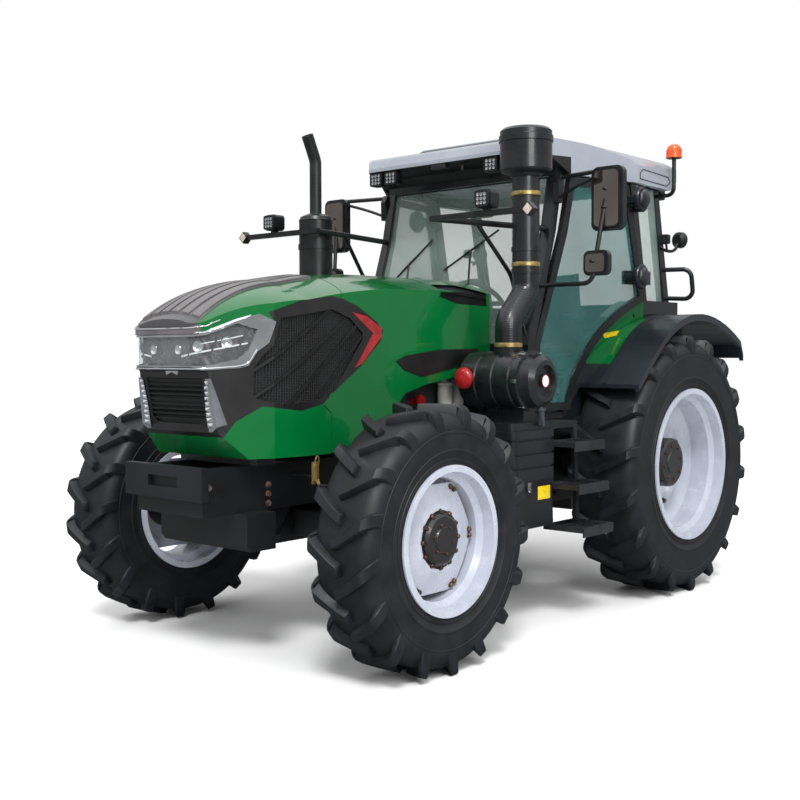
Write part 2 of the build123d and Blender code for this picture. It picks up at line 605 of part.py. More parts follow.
def fenders():
    """Inner wall, raised deck and green shoulder between the cab and each rear tyre."""
    flare = [*FLARE_LINE, FLARE_TAIL]
    cab_side = lines_between(FLARE_LINE, 500, CAB_REAR_Y)
    tail = lines_between(flare, CAB_REAR_Y, 2000)
    wall = side_form([*DECK_LINE, *tail, (1900, 1500), (CAB_REAR_Y, FLOOR_Z[0]), (357, FLOOR_Z[0])],
                     INNER_WALL)
    outer_edge = [(door_plane(y) - JOINT_GAP, y) for y in (200, 1117)] + [(860, CAB_REAR_Y)]
    deck = side_form([*DECK_LINE, *lowered(DECK_LINE, 30)], (INNER_WALL[1], 900))
    skirt = side_form([*DECK_LINE, *lowered(cab_side, FLARE_SHEET), (357, FLOOR_Z[0])],
                      (INNER_WALL[1], 900))
    inside = plan_form([*outer_edge, (600, CAB_REAR_Y), (600, 200)], (1000, 2200))
    core = plan_form([(x - 25, y) for x, y in outer_edge] + [(600, CAB_REAR_Y), (600, 200)],
                     (1000, 2200))
    shoulder = side_form([*cab_side, *lowered(cab_side, FLARE_SHEET)], (INNER_WALL[1], FLARE_X[0]))
    return both(wall + (deck & inside) + ((skirt & inside) - core) + (shoulder - inside))


def fender_flares():
    """Black flare with its turned-down lip and stiffening rib, and the fender's tail behind the cab."""
    line = [*FLARE_LINE, FLARE_TAIL]
    flare = side_form([*line, *lowered(line, FLARE_SHEET)], FLARE_X)
    flare += side_form([*line, *lowered(line, 45)], (FLARE_X[1] - 30, FLARE_X[1]))
    rib = [(y, z + 8) for y, z in FLARE_LINE]
    flare += side_form([*rib, *lowered(FLARE_LINE, 4)], (FLARE_X[0] + 20, FLARE_X[0] + 46))
    tail = lines_between(line, CAB_REAR_Y, FLARE_TAIL[0])
    flare += side_form([*tail, *lowered(tail, FLARE_SHEET)], (INNER_WALL[1], FLARE_X[0]))
    return both(flare)


# ---------------------------------------------------------------- cab
A_PILLAR = [(60, FLOOR_Z[1]), (-5, 1665), (235, 2386), (310, PILLAR_TOP)]
B_PILLAR = [(1117, FENDER_DECK), (955, PILLAR_TOP)]
C_PILLAR = [(1560, FENDER_DECK), (1395, PILLAR_TOP)]
PILLAR_HALF = 35
GRAB_RAIL = [(770, 1500, 2200), (985, 1560, 2200), (985, 1600, 1992), (770, 1540, 2002)]


def pillar(line, half, x):
    front = [(y - half, z) for y, z in line]
    back = [(y + half, z) for y, z in reversed(line)]
    return side_form(front + back, x)


def cab_floor():
    """Floor plate with its sills, front bulkhead and rear wall."""
    half = [(700, -100), (700, 97), (door_plane(97) - JOINT_GAP, 97),
            (door_plane(350) - JOINT_GAP, 350), (INNER_WALL[0], 350), (INNER_WALL[0], CAB_REAR_Y)]
    floor = plan_form(half + [(-x, y) for x, y in reversed(half)], FLOOR_Z)
    floor += block((-640, 640), (-40, 0), (FLOOR_Z[1], 1620))
    floor += block((-INNER_WALL[0], INNER_WALL[0]), (CAB_REAR_Y - 40, CAB_REAR_Y),
                   (FLOOR_Z[1], FENDER_DECK))
    return floor


def cab_frame():
    """Pillars, upper rails, screen's lower rail, door hinge brackets and rear grab rails."""
    left = pillar(A_PILLAR, PILLAR_HALF, (640, 700))
    left += pillar(B_PILLAR, PILLAR_HALF, (805, 865))
    left += pillar(C_PILLAR, PILLAR_HALF, (740, 800))
    left += plan_form([(640, 275), (700, 275), (865, 960), (800, 1430), (740, 1430), (805, 960)],
                      (PILLAR_TOP, RAIL_TOP))
    hinge_x, hinge_y = DOOR_HINGE
    for z, pillar_y in DOOR_HINGES:
        left += block((865, hinge_x + 8), (pillar_y - 25, pillar_y + 25), (z - 45, z + 45))
        left += block((hinge_x - 10, hinge_x + 10), (hinge_y, max(pillar_y, hinge_y + 20)), (z - 45, z + 45))
        left += Pos(hinge_x, hinge_y, z) * Cylinder(17, 90)
        left -= block((hinge_x - 30, hinge_x + 30), (hinge_y - 40, hinge_y + 28), (z - 21, z + 21))
    left += pipe(GRAB_RAIL, 16, 60)
    frame = left + right_of(left)
    frame += block((-690, 690), (275, 345), (PILLAR_TOP, RAIL_TOP))
    frame += block((-770, 770), (1360, 1430), (PILLAR_TOP, RAIL_TOP))
    frame += block((-640, 640), (-40, 30), (1620, 1665))
    return frame


def cab_roof():
    """Moulded roof, higher along the middle, with a pocket for the cab's upper rails."""
    plan = [(600, -50), (690, 90), (770, 330), (900, 960), (880, 1540)]
    side = [(-60, 2850), (-30, 2925), (60, 2958), (250, 2985), (900, 2998), (1400, 2975), (1540, 2935),
            (1560, 2830), (1450, 2745), (330, 2745), (200, 2830)]
    crown = [(905, 2700), (905, 2850), (880, 2900), (800, 2948), (640, 2974), (540, 2976), (500, 2994),
             (0, 3000)]
    roof = plan_form(plan + [(-x, y) for x, y in reversed(plan)], (2700, 3100))
    roof &= side_form(side, (-1000, 1000))
    roof &= front_form(crown + [(-x, z) for x, z in reversed(crown[:-1])], (-100, 1600))
    pocket = plan_form([(-730, 270), (730, 270), (872, 960), (830, 1436), (-830, 1436),
                        (-872, 960)], (2690, RAIL_TOP))
    return roof - pocket


def cab_glass():
    """Windscreen, rear window and the two quarter panes."""
    screen = [(-30, 1665), (210, 2386), (285, PILLAR_TOP), (293, PILLAR_TOP), (218, 2386), (-22, 1665)]
    panes = [side_form(screen, (-640, 640))]
    rear = [(1575, FENDER_DECK), (1410, PILLAR_TOP), (1402, PILLAR_TOP), (1567, FENDER_DECK)]
    panes.append(side_form(rear, (-740, 740)))
    quarter = [(1117 + 36, FENDER_DECK), (955 + 36, PILLAR_TOP), (1395 - 36, PILLAR_TOP),
               (1560 - 36, FENDER_DECK)]
    side = side_form(quarter, (700, 900))
    sheet = plan_form([(830, 960), (838, 960), (774, 1600), (766, 1600)], (1900, 2800))
    panes.extend(both(side & sheet).solids())
    return Compound(children=[s for p in panes for s in p.solids()])


def door():
    """Frame and pane of the left door, hinged on the B-pillar."""
    front = PILLAR_HALF + DOOR_FRONT_GAP
    rear = PILLAR_HALF + 8
    outline = [(60 + front, 1255), (-5 + front, 1665), (235 + front, 2386), (310 + front, 2730),
               (957 - rear, 2730), (1117 - rear, 1972)]
    outline += [(y, z + DOOR_GAP) for y, z in reversed(DECK_LINE) if 400 < y < 1074]
    outline += [(385, 1330), (370, 1255)]
    face = make_face(Polyline(*outline, close=True))
    slab = plan_form([(door_plane(0), 0), (door_plane(1100), 1100), (door_plane(1100) + DOOR_THICK, 1100),
                      (door_plane(0) + DOOR_THICK, 0)], (1200, 2800))
    pane_slab = plan_form([(door_plane(0) + 14, 0), (door_plane(1100) + 14, 1100),
                           (door_plane(1100) + 22, 1100), (door_plane(0) + 22, 0)], (1200, 2800))
    whole = extrude(Plane.YZ.offset(500) * face, amount=500)
    hole = extrude(Plane.YZ.offset(500) * offset(face, -48, kind=Kind.INTERSECTION), amount=500)
    for z, _ in DOOR_HINGES:
        hole -= block((500, 1000), (890, 1100), (z - 45, z + 45))
    frame = (whole - hole) & slab
    glass = hole & pane_slab
    hinge_x, hinge_y = DOOR_HINGE
    for z, _ in DOOR_HINGES:
        frame += block((door_plane(900) + 10, hinge_x + 8), (hinge_y - 90, hinge_y - 50),
                       (z - 15, z + 15))
        frame += block((hinge_x - 8, hinge_x + 8), (hinge_y - 90, hinge_y), (z - 15, z + 15))
        frame += Pos(hinge_x, hinge_y, z) * Cylinder(17, 30)
    latch_x = door_plane(85) + DOOR_THICK
    frame += block((latch_x - 10, latch_x + 14), (82, 118), (1450, 1550))
    frame += block((latch_x + 10, latch_x + 32), (88, 112), (1400, 1550))
    return frame, glass


def seat():
    """Driver's seat on its pedestal, with armrests."""
    cushion = padded_box((-240, 240), (880, 1330), (1580, 1680), 70)
    back = side_form([(1250, 1660), (1330, 1660), (1400, 2180), (1375, 2210), (1350, 2200), (1325, 2160)],
                     (-230, 230))
    back &= rounded_plate((0, 1300, 1920), (460, 640), 90, 300)
    base = block((-200, 200), (920, 1310), (1500, 1580)) + block((-150, 150), (960, 1280), (FLOOR_Z[1], 1500))
    arm = block((245, 290), (1010, 1350), (1850, 1895)) + block((225, 270), (1290, 1350), (1780, 1860))
    return cushion + back + base + arm + right_of(arm)


def dash_console():
    """Instrument pod on its pedestal, with the steering column and wheel."""
    post = side_form([(0, FLOOR_Z[1]), (160, FLOOR_Z[1]), (200, 1700), (260, 1830), (110, 1830),
                      (30, 1665), (30, 1620), (0, 1620)], (-180, 180))
    column = drum((0, 200, 1750), (0, 400, 1950), 30)
    tilted = Plane(origin=(0, 400, 1950), z_dir=(0, 1, 1))
    ring = [(186, -8), (194, -14), (206, -14), (214, -8), (214, 8), (206, 14), (194, 14), (186, 8)]
    wheel = tilted * (stood(ring, (0, 0)) + Box(390, 30, 14) + Box(30, 390, 14))
    return post + column + wheel


# ---------------------------------------------------------------- outside fittings
def mirrors(frame):
    """Tube loop ahead of each door with a large and a small mirror."""
    loop = pipe([(670, 300, 2722), (1130, 195, 2722), (1070, 88, 2035), (670, 88, 2035)], 14, 60)
    heads = rounded_plate((1125, 190, 2545), (215, 385), 45, 44)
    heads += rounded_plate((1125, 167, 2545), (180, 350), 35, 24)
    heads += rounded_plate((1095, 110, 2155), (170, 150), 38, 40)
    heads += rounded_plate((1095, 90, 2155), (140, 120), 28, 24)
    return both(loop + heads - frame)


LAMP_ARM = [(665, 215, 2400), (475, -690, 2400)]
LAMP_STRUT = [(545, -360, 2400), (600, -80, 2100), (668, -5, 1700)]
LAMP_BAR = (460, 1135)              # inner and outer x of the bar that carries the lamp
ROOF_LAMPS = ((415, -10, 2752), (545, -10, 2752), (745, 1500, 2690))     # lower middle of each lamp


def work_lamps(frame, roof):
    """Strutted lamp arms ahead of the cab with their indicators, and lamps under the roof's ends."""
    arm = pipe(LAMP_ARM, 18, 60) + pipe(LAMP_STRUT, 13, 160)
    arm += block(LAMP_BAR, (-706, -674), (2384, 2416))
    arm += Pos(1150, -690, 2400) * Rot(0, 45, 0) * Box(56, 50, 56)
    arm += rounded_plate((863, -690, 2478), (106, 104), 26, 80)
    arm += rounded_plate((863, -735, 2478), (92, 90), 20, 20)
    arm += block((845, 881), (-708, -672), (2410, 2432))
    lamps = (arm - frame).solids()
    for x, y, z in ROOF_LAMPS:
        lamp = rounded_plate((x, y, z + 50), (106, 92), 16, 60)
        lamp += block((x - 20, x + 20), (y - 15, y + 15), (z, z + 170))
        lamps += [min((lamp - roof).solids(), key=lambda solid: solid.center().Z)]
    return both(Compound(children=lamps))


def beacon():
    """Warning lamp with a domed lens, on a bent tube from the rear of the roof."""
    pole = pipe([(800, 1395, 2705), (935, 1395, 2705), (935, 1395, 2960)], 14, 50)
    lamp = stood([(0, 2955), (50, 2955), (50, 2972), (43, 2976), (45, 3018), (38, 3036), (20, 3046),
                  (0, 3048)], (935, 1395))
    return pole + lamp


# ---------------------------------------------------------------- rear hitch
LINK_PIVOT, ARM_PIVOT = (1480, 610), (1500, 1020)     # y, z of the lower links and lift arms
LINK_PIN_R, ARM_PIN_R, HITCH_PIN_END = 18, 30, 305
LINK_END_Y, LINK_END_X = 2258, 430
LIFT_REACH = 450                    # from a link's pivot back to the lift rod's eye
ROD_X, ROD_PIN_R = 418, 14
BALL_BORE_R, BALL_HALF = 14.25, 22.5


def lower_links():
    y, z = LINK_PIVOT
    eye_x = 270
    link = plan_form([(eye_x - 14, y), (eye_x + 14, y), (LINK_END_X + 10, LINK_END_Y - 28),
                      (LINK_END_X - 18, LINK_END_Y - 28)], (z - 30, z + 30))
    link += drum((eye_x - 28, y, z), (eye_x + 28, y, z), 38)
    link += drum((LINK_END_X - BALL_HALF, LINK_END_Y, z), (LINK_END_X + BALL_HALF, LINK_END_Y, z), 42)
    link += drum((365, y + LIFT_REACH, z), (ROD_X + 22, y + LIFT_REACH, z), ROD_PIN_R)
    link -= drum((eye_x - 40, y, z), (eye_x + 40, y, z), LINK_PIN_R + RUNNING)
    link -= drum((LINK_END_X - 40, LINK_END_Y, z), (LINK_END_X + 40, LINK_END_Y, z), BALL_BORE_R)
    return both(link)


def lift_arms():
    y, z = ARM_PIVOT
    tip_y = y + LIFT_REACH
    arm = plan_form([(246, y - 30), (300, y - 30), (395, tip_y - 40), (395, tip_y + 30),
                     (362, tip_y + 30), (246, y + 60)], (z - 32, z + 32))
    arm += drum((246, y, z), (300, y, z), 58)
    arm += drum((380, tip_y, z), (ROD_X + 22, tip_y, z), ROD_PIN_R)
    arm -= drum((200, y, z), (310, y, z), ARM_PIN_R + RUNNING)
    return both(arm)


def lift_rods():
    arm_y, arm_z = ARM_PIVOT[0] + LIFT_REACH, ARM_PIVOT[1]
    link_y, link_z = LINK_PIVOT[0] + LIFT_REACH, LINK_PIVOT[1]
    ends = [(ROD_X - 18, ROD_X + 18), (arm_y, arm_z), (link_y, link_z)]
    rod = drum((ROD_X, arm_y, arm_z), (ROD_X, link_y, link_z), 19)
    for y, z in ends[1:]:
        rod += drum((ends[0][0], y, z), (ends[0][1], y, z), 32)
    rod -= drum((ROD_X - 30, arm_y, arm_z), (ROD_X + 30, arm_y, arm_z), ROD_PIN_R + RUNNING)
    rod -= drum((ROD_X - 30, link_y, link_z), (ROD_X + 30, link_y, link_z), ROD_PIN_R + 2)
    return both(rod)


def drawbar():
    bar = block((-40, 40), (1500, 1960), (440, 480))
    bar -= Pos(0, 1915, 460) * Cylinder(16, 40)
    return bar + block((-90, 90), (1440, 1500), (440, 560))


def build_all():
    made = wheels()
    frame, roof = cab_frame(), cab_roof()
    made |= {
        "front_axle": front_axle(),
        "knuckle_left": knuckle(),
        "knuckle_right": right_of(knuckle()),
        "front_frame": front_frame(),
        "engine": engine(),
        "transmission": transmission(),
        "rear_axle": rear_axle(),
        "exhaust": exhaust(),
        "air_cleaner": air_cleaner(),
        "intake_stack": intake_stack(),
        "fuel_tanks": fuel_tanks(),
        "side_boxes": side_boxes(),
        "steps": steps(),
        "fenders": fenders(),
        "fender_flares": fender_flares(),
        "cab_floor": cab_floor(),
        "cab_frame": frame,
        "cab_roof": roof,
        "cab_glass": cab_glass(),
        "seat": seat(),
        "dash_console": dash_console(),
        "mirrors": mirrors(frame),
        "work_lamps": work_lamps(frame, roof),
        "beacon": beacon(),
        "drawbar": drawbar(),
        "lower_links": lower_links(),
        "lift_arms": lift_arms(),
        "lift_rods": lift_rods(),
    }
    made |= bonnet()
    door_frame, door_pane = door()
    made |= {
        "door_left_frame": door_frame,
        "door_left_glass": door_pane,
        "door_right_frame": right_of(door_frame),
        "door_right_glass": right_of(door_pane),
    }
    return made


os.makedirs("parts", exist_ok=True)
for node, shape in build_all().items():
    export_step(shape, f"parts/{node}.step")
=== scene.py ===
import bpy
import bmesh
import json
from math import asin, cos, degrees, exp, pi, radians, sin, sqrt
from mathutils import Matrix, Vector
from mathutils.bvhtree import BVHTree

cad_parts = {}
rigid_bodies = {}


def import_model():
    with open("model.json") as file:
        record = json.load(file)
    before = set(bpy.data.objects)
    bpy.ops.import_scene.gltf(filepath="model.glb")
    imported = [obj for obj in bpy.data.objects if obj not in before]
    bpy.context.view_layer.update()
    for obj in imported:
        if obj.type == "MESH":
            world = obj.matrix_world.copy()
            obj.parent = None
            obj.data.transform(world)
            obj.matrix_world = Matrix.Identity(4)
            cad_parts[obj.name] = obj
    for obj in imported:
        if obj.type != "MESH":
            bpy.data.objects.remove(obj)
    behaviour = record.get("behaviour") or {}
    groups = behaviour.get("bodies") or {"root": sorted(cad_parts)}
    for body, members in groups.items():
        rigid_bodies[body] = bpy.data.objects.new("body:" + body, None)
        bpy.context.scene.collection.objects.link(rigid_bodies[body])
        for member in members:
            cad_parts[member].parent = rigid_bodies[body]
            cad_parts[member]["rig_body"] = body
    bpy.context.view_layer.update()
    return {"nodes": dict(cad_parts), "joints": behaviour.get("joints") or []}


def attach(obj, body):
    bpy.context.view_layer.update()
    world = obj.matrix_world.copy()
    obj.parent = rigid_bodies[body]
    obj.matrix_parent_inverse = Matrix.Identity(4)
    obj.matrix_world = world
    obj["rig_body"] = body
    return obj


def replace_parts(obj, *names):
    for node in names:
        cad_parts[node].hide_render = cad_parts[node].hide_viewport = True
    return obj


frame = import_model()
nodes = frame["nodes"]
pivots = {joint["name"]: joint["pos_m"] for joint in frame["joints"]}
scene = bpy.context.scene


# ---------------------------------------------------------------- castings of the drive line
# Front frame, axle beam, knuckles, gearbox, rear axle and hitch are grey iron castings and steel
# weldments, bolted to each other and sprayed with one satin black coat.
def tone(code):
    """An sRGB hex colour as the linear colour that a shader takes."""
    parts = [int(code[i:i + 2], 16) / 255 for i in (0, 2, 4)]
    return [part / 12.92 if part < 0.04045 else ((part + 0.055) / 1.055) ** 2.4 for part in parts] + [1]


def group_of(name, kind, inputs, outputs):
    """An empty node group with its sockets, and its input and output nodes."""
    tree = bpy.data.node_groups.new(name, kind)
    for way, sockets in (("INPUT", inputs), ("OUTPUT", outputs)):
        for socket, socket_kind in sockets:
            tree.interface.new_socket(name=socket, in_out=way, socket_type="NodeSocket" + socket_kind)
    return tree, tree.nodes.new("NodeGroupInput"), tree.nodes.new("NodeGroupOutput")


def add_node(tree, kind, given, **settings):
    """A node with its settings; given holds an output or a plain value for each named input."""
    made = tree.nodes.new(kind)
    for setting, value in settings.items():
        setattr(made, setting, value)
    for socket, value in given.items():
        if isinstance(value, bpy.types.NodeSocket):
            tree.links.new(value, made.inputs[socket])
        else:
            made.inputs[socket].default_value = value
    return made


def coating_group():
    """Two tones in soft patches, an uneven gloss and a fine grain."""
    tree, given, out = group_of("coating", "ShaderNodeTree", [
        ("Vector", "Vector"), ("Tone A", "Color"), ("Tone B", "Color"), ("Patch Scale", "Float"),
        ("Grain Scale", "Float"), ("Rough Low", "Float"), ("Rough High", "Float")],
        [("Color", "Color"), ("Roughness", "Float"), ("Height", "Float")])
    patch = add_node(tree, "ShaderNodeTexNoise", {
        "Vector": given.outputs["Vector"], "Scale": given.outputs["Patch Scale"], "Detail": 4.0})
    grain = add_node(tree, "ShaderNodeTexNoise", {
        "Vector": given.outputs["Vector"], "Scale": given.outputs["Grain Scale"], "Detail": 3.0})
    share = add_node(tree, "ShaderNodeMapRange", {
        "Value": patch.outputs["Fac"], "From Min": 0.36, "From Max": 0.64})
    mixed = add_node(tree, "ShaderNodeMix", {
        0: share.outputs["Result"], 6: given.outputs["Tone A"], 7: given.outputs["Tone B"]},
        data_type="RGBA")
    both = add_node(tree, "ShaderNodeMath", {0: share.outputs["Result"], 1: grain.outputs["Fac"]},
                    operation="MULTIPLY")
    gloss = add_node(tree, "ShaderNodeMapRange", {
        "Value": both.outputs[0], "From Max": 0.6, "To Min": given.outputs["Rough Low"],
        "To Max": given.outputs["Rough High"]})
    tree.links.new(mixed.outputs[2], out.inputs["Color"])
    tree.links.new(gloss.outputs["Result"], out.inputs["Roughness"])
    tree.links.new(grain.outputs["Fac"], out.inputs["Height"])
    return tree


COATING = coating_group()


def surface(name, tones, rough, patch=3, grain=150, depth=0.0003, **shader):
    """A coated material: two tones, gloss range, scales of patches and grain, and shader constants."""
    made = bpy.data.materials.new(name)
    made.use_nodes = True
    tree = made.node_tree
    skin = tree.nodes["Principled BSDF"]
    place = add_node(tree, "ShaderNodeTexCoord", {})
    coat = add_node(tree, "ShaderNodeGroup", {
        "Vector": place.outputs["Object"], "Tone A": tone(tones[0]), "Tone B": tone(tones[1]),
        "Patch Scale": patch, "Grain Scale": grain, "Rough Low": rough[0], "Rough High": rough[1]},
        node_tree=COATING)
    grainy = add_node(tree, "ShaderNodeBump", {
        "Height": coat.outputs["Height"], "Distance": depth, "Strength": 0.6})
    tree.links.new(coat.outputs["Color"], skin.inputs["Base Color"])
    tree.links.new(coat.outputs["Roughness"], skin.inputs["Roughness"])
    tree.links.new(grainy.outputs["Normal"], skin.inputs["Normal"])
    for socket, value in shader.items():
        skin.inputs[socket.replace("_", " ")].default_value = value
    return made


def dress(material, *names):
    """Gives CAD nodes their material."""
    for name in names:
        nodes[name].data.materials.clear()
        nodes[name].data.materials.append(material)


chassis_paint = surface("chassis_paint", ("101113", "1a1b1e"), (0.38, 0.6), patch=2.5, grain=220,
                        depth=0.0006)
hitch_paint = surface("hitch_paint", ("131416", "202124"), (0.32, 0.5), patch=6, grain=260)
dress(chassis_paint, "front_frame", "front_axle", "knuckle_left", "knuckle_right", "transmission",
      "rear_axle")
dress(hitch_paint, "drawbar", "lower_links", "lift_arms", "lift_rods")


# ---------------------------------------------------------------- screws of the drive line
# Hexagon screws on washers hold the hangers, the gearbox's flanges, the axle trumpets and the ears
# of the front axle. Those at the frame's side are zinc plated and have rusted; the rest are painted.
TINY = 0.0001                           # stands for a radius of nothing, so that no face is empty


def mesh_of(name, points, faces):
    """A mesh from its points and faces."""
    made = bpy.data.meshes.new(name)
    made.from_pydata(points, [], faces)
    return made


def revolved(profile, steps=48):
    """A closed profile of (x, radius) points turned about the X axis."""
    count = len(profile)
    points = [(x, r * sin(2 * pi * i / steps), r * cos(2 * pi * i / steps))
              for i in range(steps) for x, r in profile]
    faces = []
    for i in range(steps):
        here, following = i * count, (i + 1) % steps * count
        for k in range(count):
            m = (k + 1) % count
            faces.append((here + k, here + m, following + m, following + k))
    return mesh_of("revolved", points, faces)


def moved(mesh, offset, turn=None):
    """A mesh turned by (degrees, axis) and then moved."""
    made = mesh.copy()
    matrix = Matrix.Translation(offset)
    if turn:
        matrix = matrix @ Matrix.Rotation(radians(turn[0]), 4, turn[1])
    made.transform(matrix)
    return made


UPWARD, DOWNWARD = (-90, "Y"), (90, "Y")     # turns that stand a piece drawn along +X on end
AHEAD, ASTERN = (-90, "Z"), (90, "Z")        # and that point it along the tractor


def flipped(mesh):
    """A mesh's mirror image on the other side of the tractor."""
    made = mesh.copy()
    made.transform(Matrix.Scale(-1, 4, (1, 0, 0)))
    return made


def pair(meshes):
    """Left-hand meshes with their mirror images."""
    return list(meshes) + [flipped(mesh) for mesh in meshes]


def piece(name, meshes, material, body="chassis", sharp=38):
    """Joins meshes into one object with outward normals, which rides on a body."""
    work = bmesh.new()
    for mesh in meshes:
        work.from_mesh(mesh)
    bmesh.ops.remove_doubles(work, verts=work.verts, dist=0.00005)
    bmesh.ops.recalc_face_normals(work, faces=work.faces)
    whole = bpy.data.meshes.new(name)
    work.to_mesh(whole)
    work.free()
    whole.materials.clear()
    whole.materials.append(material)
    for face in whole.polygons:
        face.material_index = 0
    whole.shade_smooth()
    whole.set_sharp_from_angle(angle=radians(sharp))
    made = bpy.data.objects.new(name, whole)
    scene.collection.objects.link(made)
    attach(made, body)
    return made


def repeat_tree():
    """Copies a mesh: copy i is moved by i times Step and turned by Start plus i times Turn."""
    tree, given, out = group_of("repeat", "GeometryNodeTree", [
        ("Geometry", "Geometry"), ("Count", "Int"), ("Step", "Vector"), ("Turn", "Vector"),
        ("Start", "Vector"), ("Material", "Material")], [("Geometry", "Geometry")])
    index = add_node(tree, "GeometryNodeInputIndex", {})
    spread, turned = (add_node(tree, "ShaderNodeVectorMath", {
        0: given.outputs[name], "Scale": index.outputs[0]}, operation="SCALE") for name in ("Step", "Turn"))
    whole = add_node(tree, "ShaderNodeVectorMath", {0: turned.outputs[0], 1: given.outputs["Start"]},
                     operation="ADD")
    points = add_node(tree, "GeometryNodePoints", {
        "Count": given.outputs["Count"], "Position": spread.outputs[0]})
    copies = add_node(tree, "GeometryNodeInstanceOnPoints", {
        "Points": points.outputs[0], "Instance": given.outputs["Geometry"], "Rotation": whole.outputs[0]})
    real = add_node(tree, "GeometryNodeRealizeInstances", {"Geometry": copies.outputs[0]})
    painted = add_node(tree, "GeometryNodeSetMaterial", {
        "Geometry": real.outputs[0], "Material": given.outputs["Material"]})
    tree.links.new(painted.outputs[0], out.inputs["Geometry"])
    return tree


REPEAT = repeat_tree()


def plain_mesh(carrier):
    """What an object evaluates to, as a mesh of its own; the object goes."""
    scene.collection.objects.link(carrier)
    graph = bpy.context.evaluated_depsgraph_get()
    made = bpy.data.meshes.new_from_object(carrier.evaluated_get(graph))
    bpy.data.objects.remove(carrier)
    return made


def repeated(mesh, material, count, step=(0, 0, 0), turn=(0, 0, 0), start=(0, 0, 0)):
    """A mesh copied by the repeat tree; turn and start are in degrees about X, Y and Z."""
    carrier = bpy.data.objects.new("carrier", mesh)
    modifier = carrier.modifiers.new("repeat", "NODES")
    modifier.node_group = REPEAT
    values = {"Count": count, "Step": step, "Turn": [radians(angle) for angle in turn],
              "Start": [radians(angle) for angle in start], "Material": material}
    for socket in REPEAT.interface.items_tree:
        if socket.in_out == "INPUT" and socket.name in values:
            modifier[socket.identifier] = values[socket.name]
    return plain_mesh(carrier)


def ringed(mesh, material, count, first=0):
    """Copies of a mesh spaced evenly round the X axis, starting at an angle."""
    return repeated(mesh, material, count, turn=(360 / count, 0, 0), start=(first, 0, 0))


def screw(radius, height):
    """A hexagon head with its washer, standing on x = 0."""
    seat = height * 0.2
    head = revolved([(seat, TINY), (seat, radius), (height * 0.88, radius), (height, radius * 0.86),
                     (height, TINY)], steps=6)
    washer = revolved([(0, TINY), (0, radius * 1.25), (seat, radius * 1.25), (height * 0.24, TINY)],
                      steps=20)
    return [head, washer]


rusted_zinc = surface("rusted_zinc", ("6b4a3a", "b09a86"), (0.35, 0.6), patch=60, grain=500, Metallic=0.7)
FRAME_SIDE = 0.26                       # x of the front frame's outer face
FRAME_SCREWS = ((-2.214, 0.948), (-1.81, 0.932), (-1.81, 0.882), (-1.81, 0.832), (-1.26, 0.90), (-1.26, 0.85))
frame_screws = [moved(part, (FRAME_SIDE, y, z)) for y, z in FRAME_SCREWS for part in screw(0.0145, 0.014)]
piece("frame_screws", pair(frame_screws), rusted_zinc)

GEARBOX_ROWS = (
    # place of the row's first screw, how many, step to the next one
    ((0.19, 0.0, 0.66), 5, (0, 0.17, 0)),
    ((0.23, 1.0, 0.62), 2, (0, 0, 0.46)),
    ((0.23, 1.45, 0.62), 2, (0, 0, 0.46)),
)
rows = [repeated(moved(part, first), hitch_paint, count, step=step)
        for part in screw(0.0125, 0.014) for first, count, step in GEARBOX_ROWS]
piece("gearbox_screws", pair(rows), hitch_paint)

rear_hub = pivots["spin_rear_left"]
TRUMPET_FLANGE = 0.654                  # x of the flange at the trumpet's inner end
trumpet_screws = [moved(flipped(ringed(moved(part, (0, 0, 0.142)), hitch_paint, 12, first=15)),
                        (TRUMPET_FLANGE, rear_hub[1], rear_hub[2])) for part in screw(0.014, 0.016)]
piece("trumpet_screws", pair(trumpet_screws), hitch_paint)

front_hub = pivots["spin_front_left"]
EAR_X, EAR_REACH = 0.690, 0.164         # middle of an ear's screws; its face's height from the axle
ear_screws = []
for part in screw(0.011, 0.012):
    ring = ringed(moved(part, (0, 0, 0.043)), hitch_paint, 4, first=45)
    ear_screws.append(moved(ring, (EAR_X, front_hub[1], front_hub[2] + EAR_REACH), UPWARD))
    ear_screws.append(moved(ring, (EAR_X, front_hub[1], front_hub[2] - EAR_REACH), DOWNWARD))
piece("kingpin_screws", pair(ear_screws), hitch_paint)


# ---------------------------------------------------------------- tyres
# Bias-ply farm tyres, moulded from black rubber in one piece with two staggered rows of bars. The
# sidewalls carry plain raised rings, and the beads sit on the rims.
LUG_INNER = (-0.016, -0.022, 0.032)     # x of a bar's inner end, and its two edges round the tyre there
LUG_OUTER = (0.096, 0.166)              # its two edges at the sidewall
LUG_DEPTH = 0.038
SHOULDER = 0.030                        # the bar's end slopes from here inside the sidewall
TYRES = (
    # name, hub of the left one, tip radius, half width, bead radius, pairs of bars
    ("front", front_hub, 0.683, 0.189, 0.356, 17),
    ("rear", rear_hub, 0.866, 0.234, 0.483, 18),
)
tyre_rubber = surface("tyre_rubber", ("0b0d12", "14171d"), (0.46, 0.66), patch=9, grain=320, depth=0.0007,
                      Specular_IOR_Level=0.5)


def carcass(tip_r, half, bead_r):
    """The casing with a crowned tread, bulged sidewalls and their rings, as a turned profile."""
    base, seat = tip_r - LUG_DEPTH, half - 0.024
    side = [(0, base), (half * 0.4, base - 0.001), (half * 0.66, base - 0.005), (half * 0.8, base - 0.014),
            (half * 0.9, base - 0.034), (half - 0.009, base - 0.062), (half - 0.005, base - 0.088)]
    for ring_r, rise, inset in ((base - 0.1, 0.002, 0.0045), (bead_r + 0.098, 0.0022, 0.0045),
                                (bead_r + 0.052, 0.003, 0.014)):
        x = half - inset
        side += [(x - rise, ring_r + 0.007), (x, ring_r + 0.0045), (x, ring_r - 0.0045),
                 (x - rise, ring_r - 0.007)]
    side += [(seat + 0.003, bead_r + 0.031), (seat + 0.002, bead_r + 0.024), (seat, bead_r)]
    return revolved([(-x, r) for x, r in reversed(side[1:])] + side, steps=144)


